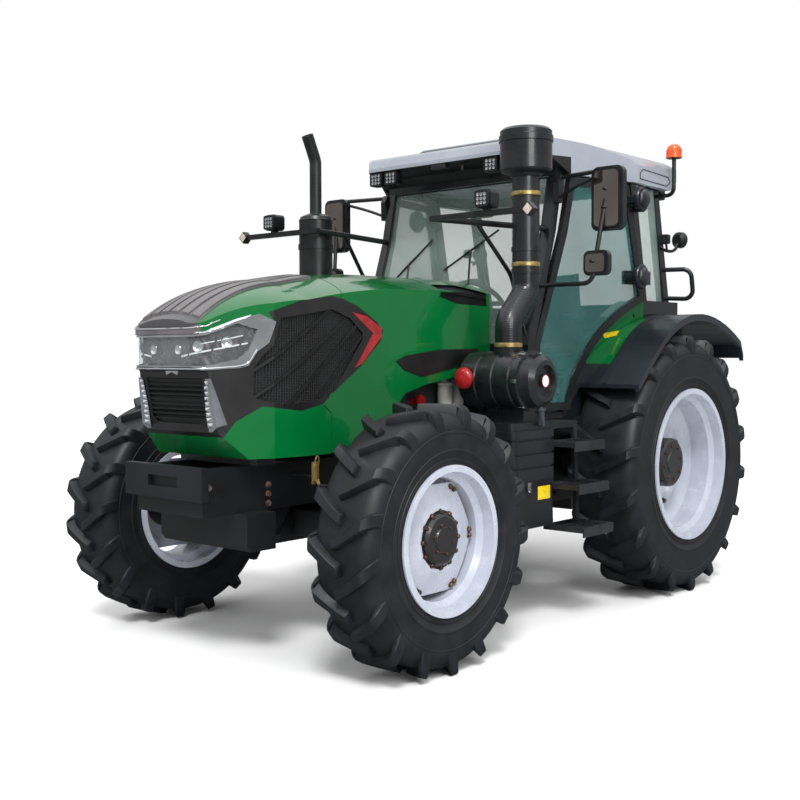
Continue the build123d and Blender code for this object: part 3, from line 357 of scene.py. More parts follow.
def between(share, near, far):
    """A value part of the way from one to another."""
    return near + share * (far - near)


def lug(tip_r, half):
    """One slanted bar: tapered section, edges broken, sloping down over the shoulder."""
    base, inner = tip_r - LUG_DEPTH, LUG_INNER[0]
    # x, radius of the bar's top and radius of its foot, from the inner end outwards
    path = [(inner - 0.003, tip_r - 0.014, base - 0.004), (inner + 0.003, tip_r - 0.001, base - 0.004)]
    path += [(between(share, inner, half - SHOULDER), tip_r, base - 0.006 - 0.02 * share)
             for share in (0.25, 0.5, 0.75)]
    path += [(half - SHOULDER, tip_r, base - 0.04), (half - 0.016, tip_r - 0.009, base - 0.05),
             (half - 0.006, tip_r - 0.028, base - 0.06), (half - 0.001, tip_r - 0.052, base - 0.075),
             (half - 0.0005, tip_r - 0.082, base - 0.085), (half - 0.004, tip_r - 0.122, base - 0.095)]
    points = []
    for x, top, foot in path:
        share = max(0, (x - inner) / (half - inner)) ** 1.12
        near, far = between(share, LUG_INNER[1], LUG_OUTER[0]), between(share, LUG_INNER[2], LUG_OUTER[1])
        foot_x = x - 0.03 if x > half - 0.02 else x
        for s, level in ((near - 0.007, 0), (near + 0.002, 0.86), (near + 0.008, 1), (far - 0.008, 1),
                         (far - 0.002, 0.86), (far + 0.007, 0)):
            r = between(level, foot, top)
            points.append((between(level, foot_x, x), s, sqrt(r * r - s * s)))
    last = 6 * (len(path) - 1)
    faces = [(i + k, i + k + 1, i + k + 7, i + k + 6) for i in range(0, last, 6) for k in range(5)]
    return mesh_of("lug", points, faces + [tuple(range(6)), tuple(range(last, last + 6))])


for name, hub, tip_r, half, bead_r, pairs in TYRES:
    reach = (half - SHOULDER - LUG_INNER[0]) / (half - LUG_INNER[0])
    first = degrees(asin(between(reach, LUG_INNER[2], LUG_OUTER[1]) / tip_r)) - 180
    bar = lug(tip_r, half)
    rows = [ringed(bar, tyre_rubber, pairs, first),
            ringed(flipped(bar), tyre_rubber, pairs, first + 180 / pairs)]
    left = [moved(mesh, hub) for mesh in (carcass(tip_r, half, bead_r), *rows)]
    for side, meshes in (("left", left), ("right", [flipped(mesh) for mesh in left])):
        made = piece(f"rubber_{name}_{side}", meshes, tyre_rubber, f"wheel_{name}_{side}",
                     sharp=30)
        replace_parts(made, f"tyre_{name}_{side}")


# ---------------------------------------------------------------- rims and hubs
# Pressed steel rims, primed and sprayed gloss white, on black cast planetary hubs. The screws and
# nuts are yellow-passivated steel, dulled by rust.
def insides(material):
    """A material's node tree, its shader and its Object coordinates."""
    tree = material.node_tree
    place = next(node for node in tree.nodes if node.type == "TEX_COORD")
    return tree, tree.nodes["Principled BSDF"], place.outputs["Object"]


def repainted(material, mask, code, rough):
    """Gives a material another colour and gloss where a mask is 1."""
    tree, skin, _ = insides(material)
    mixed = add_node(tree, "ShaderNodeMix", {
        0: mask, 6: skin.inputs["Base Color"].links[0].from_socket, 7: tone(code)}, data_type="RGBA")
    gloss = add_node(tree, "ShaderNodeMapRange", {
        "Value": mask, "To Min": skin.inputs["Roughness"].links[0].from_socket, "To Max": rough})
    tree.links.new(mixed.outputs[2], skin.inputs["Base Color"])
    tree.links.new(gloss.outputs["Result"], skin.inputs["Roughness"])


def rim_material(name, hub, hub_r):
    """Gloss white outside the hub's radius, satin black cast iron inside it."""
    made = surface(name, ("a3a8b5", "b3b7c3"), (0.2, 0.34), patch=5, grain=70, depth=0.0002, Coat_Weight=0.4)
    tree, _, place = insides(made)
    split = add_node(tree, "ShaderNodeSeparateXYZ", {0: place})
    ahead, above = (add_node(tree, "ShaderNodeMath", {0: split.outputs[axis], 1: level}, operation="SUBTRACT")
                    for axis, level in (("Y", hub[1]), ("Z", hub[2])))
    flat = add_node(tree, "ShaderNodeCombineXYZ", {"X": ahead.outputs[0], "Y": above.outputs[0]})
    radius = add_node(tree, "ShaderNodeVectorMath", {0: flat.outputs[0]}, operation="LENGTH")
    cast = add_node(tree, "ShaderNodeMath", {0: radius.outputs["Value"], 1: hub_r}, operation="LESS_THAN")
    repainted(made, cast.outputs[0], "1c1b1c", 0.48)
    return made


dress(rim_material("rim_front", front_hub, 0.1485), "rim_front_left", "rim_front_right")
dress(rim_material("rim_rear", rear_hub, 0.1785), "rim_rear_left", "rim_rear_right")
yellow_zinc = surface("yellow_zinc", ("5e493c", "7d6652"), (0.25, 0.42), patch=40, grain=500, Metallic=0.9)
HUB_SCREWS = {
    # screws in the ring, x of their seat from the hub, ring's radius, head radius, height, first angle
    "front": ((12, 0.098, 0.141, 0.0115, 0.014, 0), (6, 0.0615, 0.283, 0.0125, 0.015, 27),
              (6, 0.0615, 0.283, 0.0125, 0.015, 33), (6, 0.122, 0.075, 0.009, 0.008, 15)),
    "rear": ((8, -0.030, 0.171, 0.0130, 0.016, 0), (8, -0.052, 0.307, 0.0165, 0.022, 22.5),
             (8, 0.082, 0.115, 0.010, 0.010, 10)),
}
for name, hub, *_ in TYRES:
    left = [moved(ringed(moved(part, (seat_x, 0, ring_r)), yellow_zinc, count, first), hub)
            for count, seat_x, ring_r, head_r, height, first in HUB_SCREWS[name]
            for part in screw(head_r, height)]
    for side, meshes in (("left", left), ("right", [flipped(mesh) for mesh in left])):
        piece(f"hub_screws_{name}_{side}", meshes, yellow_zinc, f"wheel_{name}_{side}")


# ---------------------------------------------------------------- engine
# A plain grey-painted block stands for the engine, with what shows of its dressing: two white spin-on
# filters, a red oil cap, and bent steel pipes for coolant, fuel and the steering cylinder.
def rod(points, radius, sides=10, smooth=True):
    """A round bar or pipe through points, on a smooth line or in straight runs."""
    line = bpy.data.curves.new("rod", "CURVE")
    line.dimensions = "3D"
    line.bevel_depth = radius
    line.bevel_resolution = max(1, sides // 4)
    line.use_fill_caps = True
    line.resolution_u = 10
    spline = line.splines.new("BEZIER" if smooth else "POLY")
    knots = spline.bezier_points if smooth else spline.points
    knots.add(len(points) - 1)
    for knot, point in zip(knots, points):
        knot.co = point if smooth else (*point, 1)
        if smooth:
            knot.handle_left_type = knot.handle_right_type = "AUTO"
    return plain_mesh(bpy.data.objects.new("rod", line))


engine_paint = surface("engine_paint", ("26282a", "35383b"), (0.4, 0.6), patch=6, grain=160, depth=0.0005)
filter_white = surface("filter_white", ("d5d5d0", "e4e3de"), (0.25, 0.4), patch=14, grain=300)
cap_red = surface("cap_red", ("8c0f12", "a8191b"), (0.3, 0.45), patch=20, grain=300)
pipe_paint = surface("pipe_paint", ("141618", "212326"), (0.3, 0.45), patch=14, grain=400)
dress(engine_paint, "engine")

FILTER = [(0, TINY), (0, 0.040), (0.012, 0.046), (0.118, 0.046), (0.124, 0.043), (0.132, 0.049),
          (0.142, 0.049), (0.146, 0.030), (0.158, 0.028), (0.158, TINY)]
filters = [moved(revolved(FILTER), (0.32, y, 1.295), UPWARD) for y in (-0.38, -0.27)]
piece("fuel_filters", filters, filter_white)

cap = revolved([(0, TINY), (0, 0.034), (0.02, 0.036), (0.03, 0.03), (0.034, TINY)], steps=10)
neck = rod([(0.24, -0.62, 1.32), (0.28, -0.62, 1.335), (0.312, -0.62, 1.335)], 0.022)
piece("oil_cap", [moved(cap, (0.305, -0.62, 1.335)), neck], cap_red)

SIDE_PIPES = (
    # radius, points on a pipe's middle line on the engine's left side
    (0.016, ((0.26, -1.16, 1.24), (0.34, -1.02, 1.22), (0.36, -0.80, 1.27), (0.34, -0.56, 1.22),
             (0.28, -0.44, 1.16))),
    (0.012, ((0.26, -0.96, 1.12), (0.33, -0.84, 1.10), (0.34, -0.62, 1.13), (0.29, -0.46, 1.10))),
)
COOLANT_PIPES = (
    # the same for the upper and lower pipe from the radiator to the engine
    (0.028, ((0.05, -1.80, 1.50), (0.05, -1.62, 1.60), (0.05, -1.38, 1.62), (0.05, -1.16, 1.54))),
    (0.024, ((0.17, -1.80, 1.12), (0.20, -1.60, 1.10), (0.20, -1.40, 1.12), (0.20, -1.18, 1.16))),
)
side_pipes, coolant_pipes = ([rod(points, radius, sides=16) for radius, points in pipes]
                             for pipes in (SIDE_PIPES, COOLANT_PIPES))
piece("engine_pipes", pair(side_pipes) + coolant_pipes, pipe_paint)

AXLE_PIPES = (
    ((0.30, -1.28, 0.73), (0.36, -1.22, 0.80), (0.30, -1.10, 0.87), (0.22, -1.00, 0.86)),
    ((0.30, -1.28, 0.66), (0.40, -1.20, 0.72), (0.36, -1.06, 0.80), (0.24, -0.94, 0.78)),
)
piece("steering_pipes", pair([rod(points, 0.011, sides=12) for points in AXLE_PIPES]), pipe_paint)


# ---------------------------------------------------------------- bonnet
# The bonnet tilts as one piece. Its shell is moulded and sprayed glossy green, with black vents let
# into the flanks, and ribbed grey trim is screwed along its top.
def masked(material, code, rough, *tests):
    """Repaints a material where all tests hold; a test is an axis, '<' or '>', and a limit in metres."""
    tree, _, place = insides(material)
    split = add_node(tree, "ShaderNodeSeparateXYZ", {0: place})
    mask = None
    for axis, way, limit in tests:
        value = split.outputs[axis[-1]]
        if axis == "|X":
            value = add_node(tree, "ShaderNodeMath", {0: value}, operation="ABSOLUTE").outputs[0]
        passed = add_node(tree, "ShaderNodeMath", {0: value, 1: limit},
                          operation="LESS_THAN" if way == "<" else "GREATER_THAN").outputs[0]
        mask = passed if mask is None else add_node(
            tree, "ShaderNodeMath", {0: mask, 1: passed}, operation="MULTIPLY").outputs[0]
    repainted(material, mask, code, rough)


def black_in_green(name, *areas):
    """The bonnet's green paint, with bare black or grey moulding where each area's tests hold."""
    made = surface(name, ("005826", "00642e"), (0.16, 0.24), patch=1.3, grain=900, depth=0.00004,
                   Coat_Weight=0.75, Coat_Roughness=0.03, Specular_IOR_Level=0.2)
    for code, rough, *tests in areas:
        masked(made, code, rough, *tests)
    return made


def recoated(node, name, materials, choose):
    """A copy of a CAD node that shows in its place; choose gives each face its material's number."""
    whole = nodes[node].data.copy()
    whole.materials.clear()
    for material in materials:
        whole.materials.append(material)
    for face in whole.polygons:
        face.material_index = choose(face.center, face.normal)
    made = bpy.data.objects.new(name, whole)
    scene.collection.objects.link(made)
    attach(made, nodes[node]["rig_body"])
    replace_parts(made, node)
    return made


def inside(outline, y, z):
    """Whether (y, z) lies in a closed outline."""
    within = False
    for (y0, z0), (y1, z1) in zip(outline, outline[1:] + outline[:1]):
        if (z0 > z) != (z1 > z) and y < y0 + (z - z0) * (y1 - y0) / (z1 - z0):
            within = not within
    return within


trim_grey = surface("trim_grey", ("545254", "656264"), (0.3, 0.44), patch=4, grain=420, depth=0.0003,
                    Coat_Weight=0.25)
dress(trim_grey, "bonnet_top_trim")
NOSE_TOP = (("|X", "<", 0.238), ("Y", "<", -2.205), ("Z", ">", 1.7))
shell_paint = black_in_green("bonnet_paint", ("454446", 0.36, *NOSE_TOP))
vent_black = surface("vent_black", ("0d0e0f", "17181a"), (0.3, 0.45), patch=8, grain=300)
VENT = [(-0.562, 2.030), (-0.601, 1.948), (-0.427, 1.911), (-0.128, 1.903), (-0.128, 1.990),
        (-0.300, 2.038)]
VENT_X = 0.25                           # the vents lie in the shell's flanks, outside this
recoated("bonnet_shell", "bonnet_panels", [shell_paint, vent_black],
         lambda centre, normal: int(inside(VENT, centre.y, centre.z) and abs(centre.x) > VENT_X))


# ---------------------------------------------------------------- grilles
# One moulded black panel wraps the nose. Its openings hold fine moulded mesh, crossed by slanted fins
# at the sides and by level slats in front, all of it clipped into the bonnet's frame.
def mesh_material():
    """Black moulded mesh: level wires close together, with finer upright ones between them, and painted shade
    in the openings.
    """
    made = surface("grille_mesh", ("0a0b0c", "141618"), (0.35, 0.5), patch=5, grain=300)
    tree, skin, place = insides(made)
    wires, stays = (add_node(tree, "ShaderNodeTexWave", {"Vector": place, "Scale": scale, "Distortion": 0.0},
                             bands_direction=way) for scale, way in ((38.0, "Z"), (20.0, "Y")))
    weave = add_node(tree, "ShaderNodeMath", {0: wires.outputs["Fac"], 1: stays.outputs["Fac"]},
                     operation="MAXIMUM")
    # painted shade: near-black 040405 between the wires stands for the dark openings behind the mesh
    wires_over_painted_shade = add_node(tree, "ShaderNodeMix", {
        0: weave.outputs[0], 6: tone("040405"), 7: skin.inputs["Base Color"].links[0].from_socket},
        data_type="RGBA")
    raised = add_node(tree, "ShaderNodeBump", {
        "Height": weave.outputs[0], "Distance": 0.004, "Strength": 1.0})
    tree.links.new(wires_over_painted_shade.outputs[2], skin.inputs["Base Color"])
    tree.links.new(raised.outputs["Normal"], skin.inputs["Normal"])
    return made


def off_line(start, end, y, z):
    """Distance of (y, z) from the line through two points."""
    (y0, z0), (y1, z1) = start, end
    length = sqrt((y1 - y0) ** 2 + (z1 - z0) ** 2)
    return abs((y1 - y0) * (z - z0) - (z1 - z0) * (y - y0)) / length


panel_black = surface("panel_black", ("141415", "1f1d1f"), (0.28, 0.4), patch=3, grain=500, depth=0.0001,
                      Coat_Weight=0.15)
fin_black = surface("fin_black", ("08090a", "101112"), (0.4, 0.55), patch=6, grain=300)
BLADE_Y = -1.02                         # the blade behind the panel starts here
SIDE_MESH = [(-2.012, 1.395), (-1.832, 1.352), (-1.520, 1.392), (-1.433, 1.500), (-1.276, 1.694),
             (-1.276, 1.732), (-1.376, 1.809), (-1.515, 1.853), (-1.870, 1.800), (-1.905, 1.665),
             (-1.965, 1.612), (-2.012, 1.540)]
SIDE_END = -2.05                        # the side meshes end here, where the nose turns
FINS = (((-2.060, 1.500), (-1.528, 1.853)), ((-2.012, 1.395), (-1.404, 1.803)),
        ((-1.832, 1.352), (-1.319, 1.771)), ((-1.640, 1.370), (-1.276, 1.713)))
FIN_HALF = 0.0085
FRONT_MESH = (0.232, -2.1, 1.255, 1.50)     # half width, rear limit, foot and top of the front mesh
SLATS = (1.282, 0.025, 0.0105)              # foot of one slat, pitch, and a slat's height


def grille_part(centre, normal):
    """0 the panel, 1 the mesh at the sides and front, 2 its fins, slats and the blade behind it."""
    if centre.y > BLADE_Y:
        return 2
    half, rear, foot, top = FRONT_MESH
    if abs(centre.x) < half and centre.y < rear and foot < centre.z < top:
        return 1 if (centre.z - SLATS[0]) % SLATS[1] > SLATS[2] else 2
    if not inside(SIDE_MESH, centre.y, centre.z) or centre.y < SIDE_END:
        return 0
    return 2 if any(off_line(start, end, centre.y, centre.z) < FIN_HALF for start, end in FINS) else 1


recoated("grilles", "bonnet_grilles", [panel_black, mesh_material(), fin_black],
         grille_part)


# ---------------------------------------------------------------- lamps of the nose
# Clear lenses, chromed surrounds and lines, metallised reflectors with cups, light bars and red
# arrows, all clipped into the bonnet's nose. A column of faceted crystals stands under each lamp.
def reflector_material():
    """Bright metallised reflector, pressed in fine upright facets, its tone changing in soft patches."""
    made = surface("lamp_reflector", ("2c2b2d", "5a585b"), (0.18, 0.3), patch=9, grain=40, depth=0.0003,
                   Metallic=0.6)
    tree, skin, place = insides(made)
    ribs = add_node(tree, "ShaderNodeTexWave", {"Vector": place, "Scale": 7.0, "Distortion": 0.3},
                    bands_direction="DIAGONAL")
    facets = add_node(tree, "ShaderNodeBump", {
        "Height": ribs.outputs["Fac"], "Distance": 0.004, "Strength": 0.7})
    tree.links.new(facets.outputs["Normal"], skin.inputs["Normal"])
    return made


def clear_material(name, tones, alpha):
    """Clear moulding or glass: almost see-through head on, reflecting more at a glance, its pale colour a
    painted reflection.
    """
    made = surface(name, tones, (0.02, 0.05), patch=2, grain=20, depth=0.00002, IOR=1.5)
    tree, skin, _ = insides(made)
    glance = add_node(tree, "ShaderNodeLayerWeight", {"Blend": 0.35})
    cover = add_node(tree, "ShaderNodeMapRange", {
        "Value": glance.outputs["Facing"], "To Min": alpha[0], "To Max": alpha[1]})
    tree.links.new(cover.outputs["Result"], skin.inputs["Alpha"])
    return made


def skin_of(*names):
    """The surfaces of CAD nodes together, for rays to meet."""
    points, faces = [], []
    for name in names:
        mesh, start = nodes[name].data, len(points)
        points += [vertex.co for vertex in mesh.vertices]
        faces += [[start + i for i in face.vertices] for face in mesh.polygons]
    return BVHTree.FromPolygons(points, faces)


chrome = surface("chrome", ("e2e5ea", "f6f8fa"), (0.04, 0.10), patch=7, grain=2.4, depth=0.03, Metallic=1.0)
lamp_red = surface("lamp_red", ("7a1216", "a01d20"), (0.15, 0.25), patch=18, grain=120, depth=0.0002,
                   Coat_Weight=0.7)
lens_clear = clear_material("lens_clear", ("aeb4b8", "c4c9cc"), (0.09, 0.5))
strip_grey = surface("strip_grey", ("55565b", "68696e"), (0.2, 0.32), patch=6, grain=300, Coat_Weight=0.3)
LENS = [(-2.400, 1.563), (-2.250, 1.560), (-2.205, 1.566), (-2.089, 1.592), (-2.040, 1.636),
        (-1.996, 1.742), (-2.092, 1.772), (-2.240, 1.712), (-2.400, 1.684)]
ARROW_Y = -1.45                         # the red arrow on the flank starts here
STRIP_TOP, STRIP_Y = 1.497, -2.05       # top and rear limit of the upright strips
LENS_FOOT = 1.535
LAMP_MIDDLE_Y = -1.8                    # a lens's outer faces look away from here
around = skin_of("headlamps")


def lamp_part(centre, normal):
    """0 chrome surround, 1 clear outer face, 2 reflector behind it, 3 red arrow, 4 upright strips."""
    if centre.y > ARROW_Y:
        return 3
    if centre.z < STRIP_TOP and centre.y < STRIP_Y:
        return 4
    if centre.z < LENS_FOOT or not inside(LENS, centre.y, centre.z):
        return 0
    behind = around.ray_cast(centre + normal * 0.0005, normal, 0.4)[0]
    outward = normal.dot(Vector((centre.x, centre.y - LAMP_MIDDLE_Y, 0))) > 0
    return 1 if behind is None and outward else 2


recoated("headlamps", "bonnet_headlamps",
         [chrome, lens_clear, reflector_material(), lamp_red, strip_grey], lamp_part)

NOSE_MIDDLE_Y = -1.93                   # level rays towards here meet the nose all round
BEFORE_NOSE = -2.6
# y and z of the corners along the lamps' upper and lower edges
LAMP_TOP = ((-2.400, 1.692), (-2.240, 1.722), (-2.092, 1.785), (-1.984, 1.819))
LAMP_FOOT = ((-2.400, 1.533), (-2.204, 1.543), (-2.084, 1.551), (-2.040, 1.564), (-1.996, 1.636))
outside = skin_of("headlamps", "bonnet_shell", "grilles", "bonnet_top_trim")


def on_nose(angle, z, lift):
    """A point over the nose's skin at a height, at an angle from the left side round to the front."""
    away = Vector((cos(radians(angle)), -sin(radians(angle)), 0))
    hit, normal = outside.ray_cast(Vector((0, NOSE_MIDDLE_Y, z)) + away * 1.2, -away)[:2]
    return hit + normal * lift, normal


def on_front(x, z):
    """The nose's skin where a line along the tractor meets it, with its normal."""
    return outside.ray_cast(Vector((x, BEFORE_NOSE, z)), Vector((0, 1, 0)))[:2]


def edge_height(edge, y):
    """Height of an edge of the lamps at a place along the tractor."""
    for (y0, z0), (y1, z1) in zip(edge, edge[1:]):
        if y <= y1:
            return z0 + (y - y0) * (z1 - z0) / (y1 - y0)
    return edge[-1][1]


def edge_line(edge, first, rise, lift, steps=26):
    """Points round the nose from an angle on the left to its mirror image, along the lamps' edge."""
    half = []
    for i in range(steps + 1):
        angle = first + (89.9 - first) * i / steps
        y = on_nose(angle, edge[1][1], 0)[0].y
        half.append(on_nose(angle, edge_height(edge, y) + rise, lift)[0])
    return half + [Vector((-point.x, point.y, point.z)) for point in reversed(half)]


def nose_line(first, last, low, high, lift, steps):
    """Points under the nose's skin from one angle and height to another."""
    shares = [i / steps for i in range(steps + 1)]
    return [on_nose(between(share, first, last), between(share, low, high), lift)[0] for share in shares]


CHROME_LINES = (
    # edge of the lamps, first angle, height over the edge, lift off the skin, radius
    (LAMP_TOP, 14, 0.005, 0.0005, 0.0046),
    (LAMP_TOP, 38, 0.034, 0.001, 0.0036),
    (LAMP_FOOT, 10, 0.004, 0.0005, 0.0045),
)
chrome_lines = [rod(edge_line(edge, first, rise, lift), radius)
                for edge, first, rise, lift, radius in CHROME_LINES]
piece("nose_chrome_lines", chrome_lines, chrome, "bonnet")

led = surface("led_white", ("b8bcc0", "cfd2d4"), (0.2, 0.3), patch=40, grain=200,
              Emission_Color=tone("eef4f8"), Emission_Strength=0.12)
LIGHT_BARS = ((16, 70, 1.672, 1.606, 0.0045), (18, 52, 1.712, 1.668, 0.003))     # angles, heights, radius
led_lines = [mesh for first, last, low, high, radius in LIGHT_BARS
             for mesh in pair([rod(nose_line(first, last, low, high, -0.008, 16), radius)])]
piece("lamp_light_bars", led_lines, led, "bonnet")

DIVIDERS = ((24, 1.640, 1.735), (46, 1.600, 1.716), (64, 1.585, 1.702))     # angle at the foot, heights
dividers = [mesh for angle, low, high in DIVIDERS
            for mesh in pair([rod(nose_line(angle, angle - 7, low, high, -0.006, 4), 0.005)])]
piece("lamp_dividers", dividers, fin_black, "bonnet")

CUP = [(0, TINY), (0, 0.012), (0.004, 0.022), (0.010, 0.029), (0.012, 0.031), (0.009, 0.033),
       (-0.002, 0.030), (-0.004, TINY)]
cups = []
for angle, z, scale in ((33, 1.676, 0.9), (54, 1.655, 0.9), (74, 1.640, 0.75)):
    at, normal = on_nose(angle, z, -0.013)
    cup = revolved([(x * scale, r * scale) for x, r in CUP], steps=28)
    cup.transform(Matrix.Translation(at) @ normal.to_track_quat("X", "Z").to_matrix().to_4x4())
    cups.append(cup)
piece("lamp_cups", pair(cups), chrome, "bonnet")

crystals = []
for i in range(9):
    hit, normal = on_front(0.262 - 0.004 * i + 0.0004 * i * i, 1.470 - 0.0265 * i)
    across = Vector((0, 0, 1)).cross(normal).normalized()
    up = normal.cross(across)
    reach_x, reach_z = 0.013 + 0.0012 * i, 0.012
    base = [hit + across * (a * reach_x) + up * (b * reach_z)
            for a, b in ((-1, -1), (1, -0.4), (1, 1.2), (-1, 1))]
    tip = hit + normal * 0.009 + across * (0.35 * reach_x * (-1) ** i)
    crystals.append(mesh_of("crystal", [*base, tip],
                            [(0, 1, 4), (1, 2, 4), (2, 3, 4), (3, 0, 4), (3, 2, 1, 0)]))
piece("lamp_strip_crystals", pair(crystals), chrome, "bonnet", sharp=10)


def prism(outline, axis, low, high, bevel=0.0, segments=2):
    """A closed outline in the plane across an axis ('x', 'y' or 'z'), as a plate with rounded edges."""
    order = {"x": (2, 0, 1), "y": (0, 2, 1), "z": (0, 1, 2)}[axis]
    flat = [(a, b, level) for level in (low, high) for a, b in outline]
    points = [tuple(point[i] for i in order) for point in flat]
    count = len(outline)
    faces = [tuple(range(count)), tuple(range(2 * count - 1, count - 1, -1))]
    faces += [(i, (i + 1) % count, count + (i + 1) % count, count + i) for i in range(count)]
    made = mesh_of("prism", points, faces)
    if bevel:
        work = bmesh.new()
        work.from_mesh(made)
        bmesh.ops.recalc_face_normals(work, faces=work.faces)
        bmesh.ops.bevel(work, geom=work.edges[:], offset=bevel, segments=segments, affect="EDGES",
                        profile=0.6, clamp_overlap=True)
        work.to_mesh(made)
        work.free()
    return made


BADGE_Z = 1.515
EMBLEM = [(0, 0.040), (0.052, 0.018), (0.045, -0.004), (0, 0.010), (-0.045, -0.004), (-0.052, 0.018)]
spot_y = on_nose(89.9, 1.52, 0)[0].y
badge = prism([(x, BADGE_Z + z) for x, z in EMBLEM], "y", spot_y - 0.009, spot_y + 0.002, 0.002)
piece("nose_badge_blank", [badge], chrome, "bonnet")


# ---------------------------------------------------------------- exhaust
# The muffler and its tail pipe are rolled steel with welded seams, sprayed with black heat paint. Two
# band clamps with screws hold the muffler to its bracket.
def slab(low, high, bevel):
    """A box between two corners with rounded edges."""
    outline = [(low[0], low[1]), (high[0], low[1]), (high[0], high[1]), (low[0], high[1])]
    return prism(outline, "z", low[2], high[2], bevel)


def hoop(level, radius, wire, steps=64):
    """A ring of round wire about the X axis."""
    section = [(level + wire * cos(2 * pi * k / 10), radius + wire * sin(2 * pi * k / 10)) for k in range(10)]
    return revolved(section, steps=steps)


exhaust_paint = surface("exhaust_paint", ("0e0f10", "1b1c1e"), (0.3, 0.5), patch=5, grain=260, depth=0.0005)
bright_steel = surface("bright_steel", ("9a9c9f", "c4c6c8"), (0.2, 0.38), patch=12, grain=220, Metallic=1.0)
dress(exhaust_paint, "exhaust")

MUFFLER_AT = (-0.650, -0.520)           # x and y of the muffler's axis
WELDS = ((0.1105, 1.590), (0.1105, 2.490), (0.0405, 1.552), (0.0405, 2.534))     # radius and z
beads = [moved(hoop(0, radius, 0.0035), (*MUFFLER_AT, z), UPWARD) for radius, z in WELDS]
piece("muffler_welds", beads, exhaust_paint)

LUG_X, LUG_YS = (-0.792, -0.760), (-0.536, -0.510)     # a clamp's two lugs: both sides, and front faces
SCREW_X = -0.778
clamp_screws = []
for z in (1.657, 2.317):
    clamp_screws += [slab((LUG_X[0], y, z - 0.015), (LUG_X[1], y + 0.006, z + 0.015), 0.002) for y in LUG_YS]
    clamp_screws += [moved(part, (SCREW_X, LUG_YS[0], z), AHEAD) for part in screw(0.009, 0.010)]
    clamp_screws.append(rod([(SCREW_X, -0.545, z), (SCREW_X, -0.494, z)], 0.005, smooth=False))
piece("muffler_clamp_screws", clamp_screws, bright_steel)


# ---------------------------------------------------------------- intake
# The air cleaner and its riser are black moulded plastic, joined by a ribbed rubber elbow. Brassy
# worm-drive clamps pull the joints tight, and steel clips hold the cleaner's cover.
def hose_material():
    """Black rubber and plastic, with fine ribs round the elbow below the riser."""
    made = surface("intake_hose", ("101214", "1b1e21"), (0.24, 0.4), patch=4, grain=380, Coat_Weight=0.2)
    tree, skin, place = insides(made)
    split = add_node(tree, "ShaderNodeSeparateXYZ", {0: place})
    low = add_node(tree, "ShaderNodeMath", {0: split.outputs["Z"], 1: 2.03}, operation="LESS_THAN")
    waves = add_node(tree, "ShaderNodeTexWave", {"Vector": place, "Scale": 22.0}, bands_direction="Z")
    ribs = add_node(tree, "ShaderNodeMath", {0: waves.outputs["Fac"], 1: low.outputs[0]},
                    operation="MULTIPLY")
    raised = add_node(tree, "ShaderNodeBump", {
        "Height": ribs.outputs[0], "Distance": 0.0012, "Strength": 0.5})
    tree.links.new(raised.outputs["Normal"], skin.inputs["Normal"])
    return made


intake_plastic = surface("intake_plastic", ("101214", "1b1e21"), (0.24, 0.4), patch=4, grain=380,
                         Coat_Weight=0.2)
dress(intake_plastic, "air_cleaner")
dress(hose_material(), "intake_stack")
brass = surface("brass", ("a8935a", "c4ad74"), (0.3, 0.42), patch=30, grain=260, Metallic=0.75)
label_white = surface("label_white", ("d4d4d0", "e2e2de"), (0.3, 0.4), patch=30, grain=300)
valve_rubber = surface("valve_rubber", ("2c2f33", "3c4045"), (0.4, 0.55), patch=14, grain=300)

RISER_AT, NECK_AT = (0.750, -0.139), (0.750, -0.320)     # x and y of the riser and the cleaner's neck
CLAMPS = ((NECK_AT, 1.664, 0.0812), (RISER_AT, 2.150, 0.0832), (RISER_AT, 2.573, 0.0885))     # z, radius
BAND = [(-0.013, 0.0), (-0.010, 0.0030), (0.010, 0.0030), (0.013, 0.0), (0.013, -0.002), (-0.013, -0.002)]
HOUSING = ((0.006, -0.006, -0.009), (0.040, 0.006, 0.009))     # corners of the worm's housing
worm = revolved([(0, TINY), (0, 0.0055), (0.007, 0.0055), (0.008, 0.004), (0.008, TINY)], steps=6)
intake_clamps = []
for (x, y), z, radius in CLAMPS:
    band = revolved([(level, radius + r) for level, r in BAND], steps=72)
    intake_clamps.append(moved(band, (x, y, z), UPWARD))
    away = y - (radius + 0.006)
    low, high = ((x + a, away + b, z + c) for a, b, c in HOUSING)
    intake_clamps += [slab(low, high, 0.002), moved(worm, (high[0], away, z))]
piece("intake_clamps", intake_clamps, brass)

VALVE_CAP = [(0, TINY), (0, 0.064), (0.012, 0.064), (0.024, 0.056), (0.034, 0.040), (0.040, 0.020),
             (0.042, TINY)]
piece("dust_valve_cap", [moved(revolved(VALVE_CAP), (0.553, -0.492, 1.469), AHEAD)], cap_red)

CLEANER_Y, CLEANER_Z = -0.320, 1.455    # the cleaner's axis
LABEL_X, CLIP_X = 1.0098, 0.894
label = revolved([(0, TINY), (0, 0.034), (0.0012, 0.034), (0.0012, TINY)], steps=40)
label_ring = hoop(0.0008, 0.0355, 0.0022, steps=40)
for name, mesh, material, slot in (("cleaner_label_blank", label, label_white, "rim_white"),
                                   ("cleaner_label_ring", label_ring, cap_red, "seat_fabric")):
    piece(name, [moved(mesh, (LABEL_X, CLEANER_Y, CLEANER_Z))], material)

BILL = [(0, TINY), (0, 0.026), (0.014, 0.027), (0.020, 0.021), (0.050, 0.020), (0.070, 0.023),
        (0.104, 0.024), (0.108, TINY)]
PINCH_FROM, PINCH_LENGTH = 1.262, 0.05     # below this height the bill is pressed flat over a length
bill = moved(revolved(BILL, steps=32), (0.982, CLEANER_Y, 1.298), DOWNWARD)
for vertex in bill.vertices:
    squeeze = min(max((PINCH_FROM - vertex.co.z) / PINCH_LENGTH, 0), 1)
    vertex.co.y = CLEANER_Y + (vertex.co.y - CLEANER_Y) * (1 - 0.72 * squeeze)
piece("dust_valve", [bill], valve_rubber)

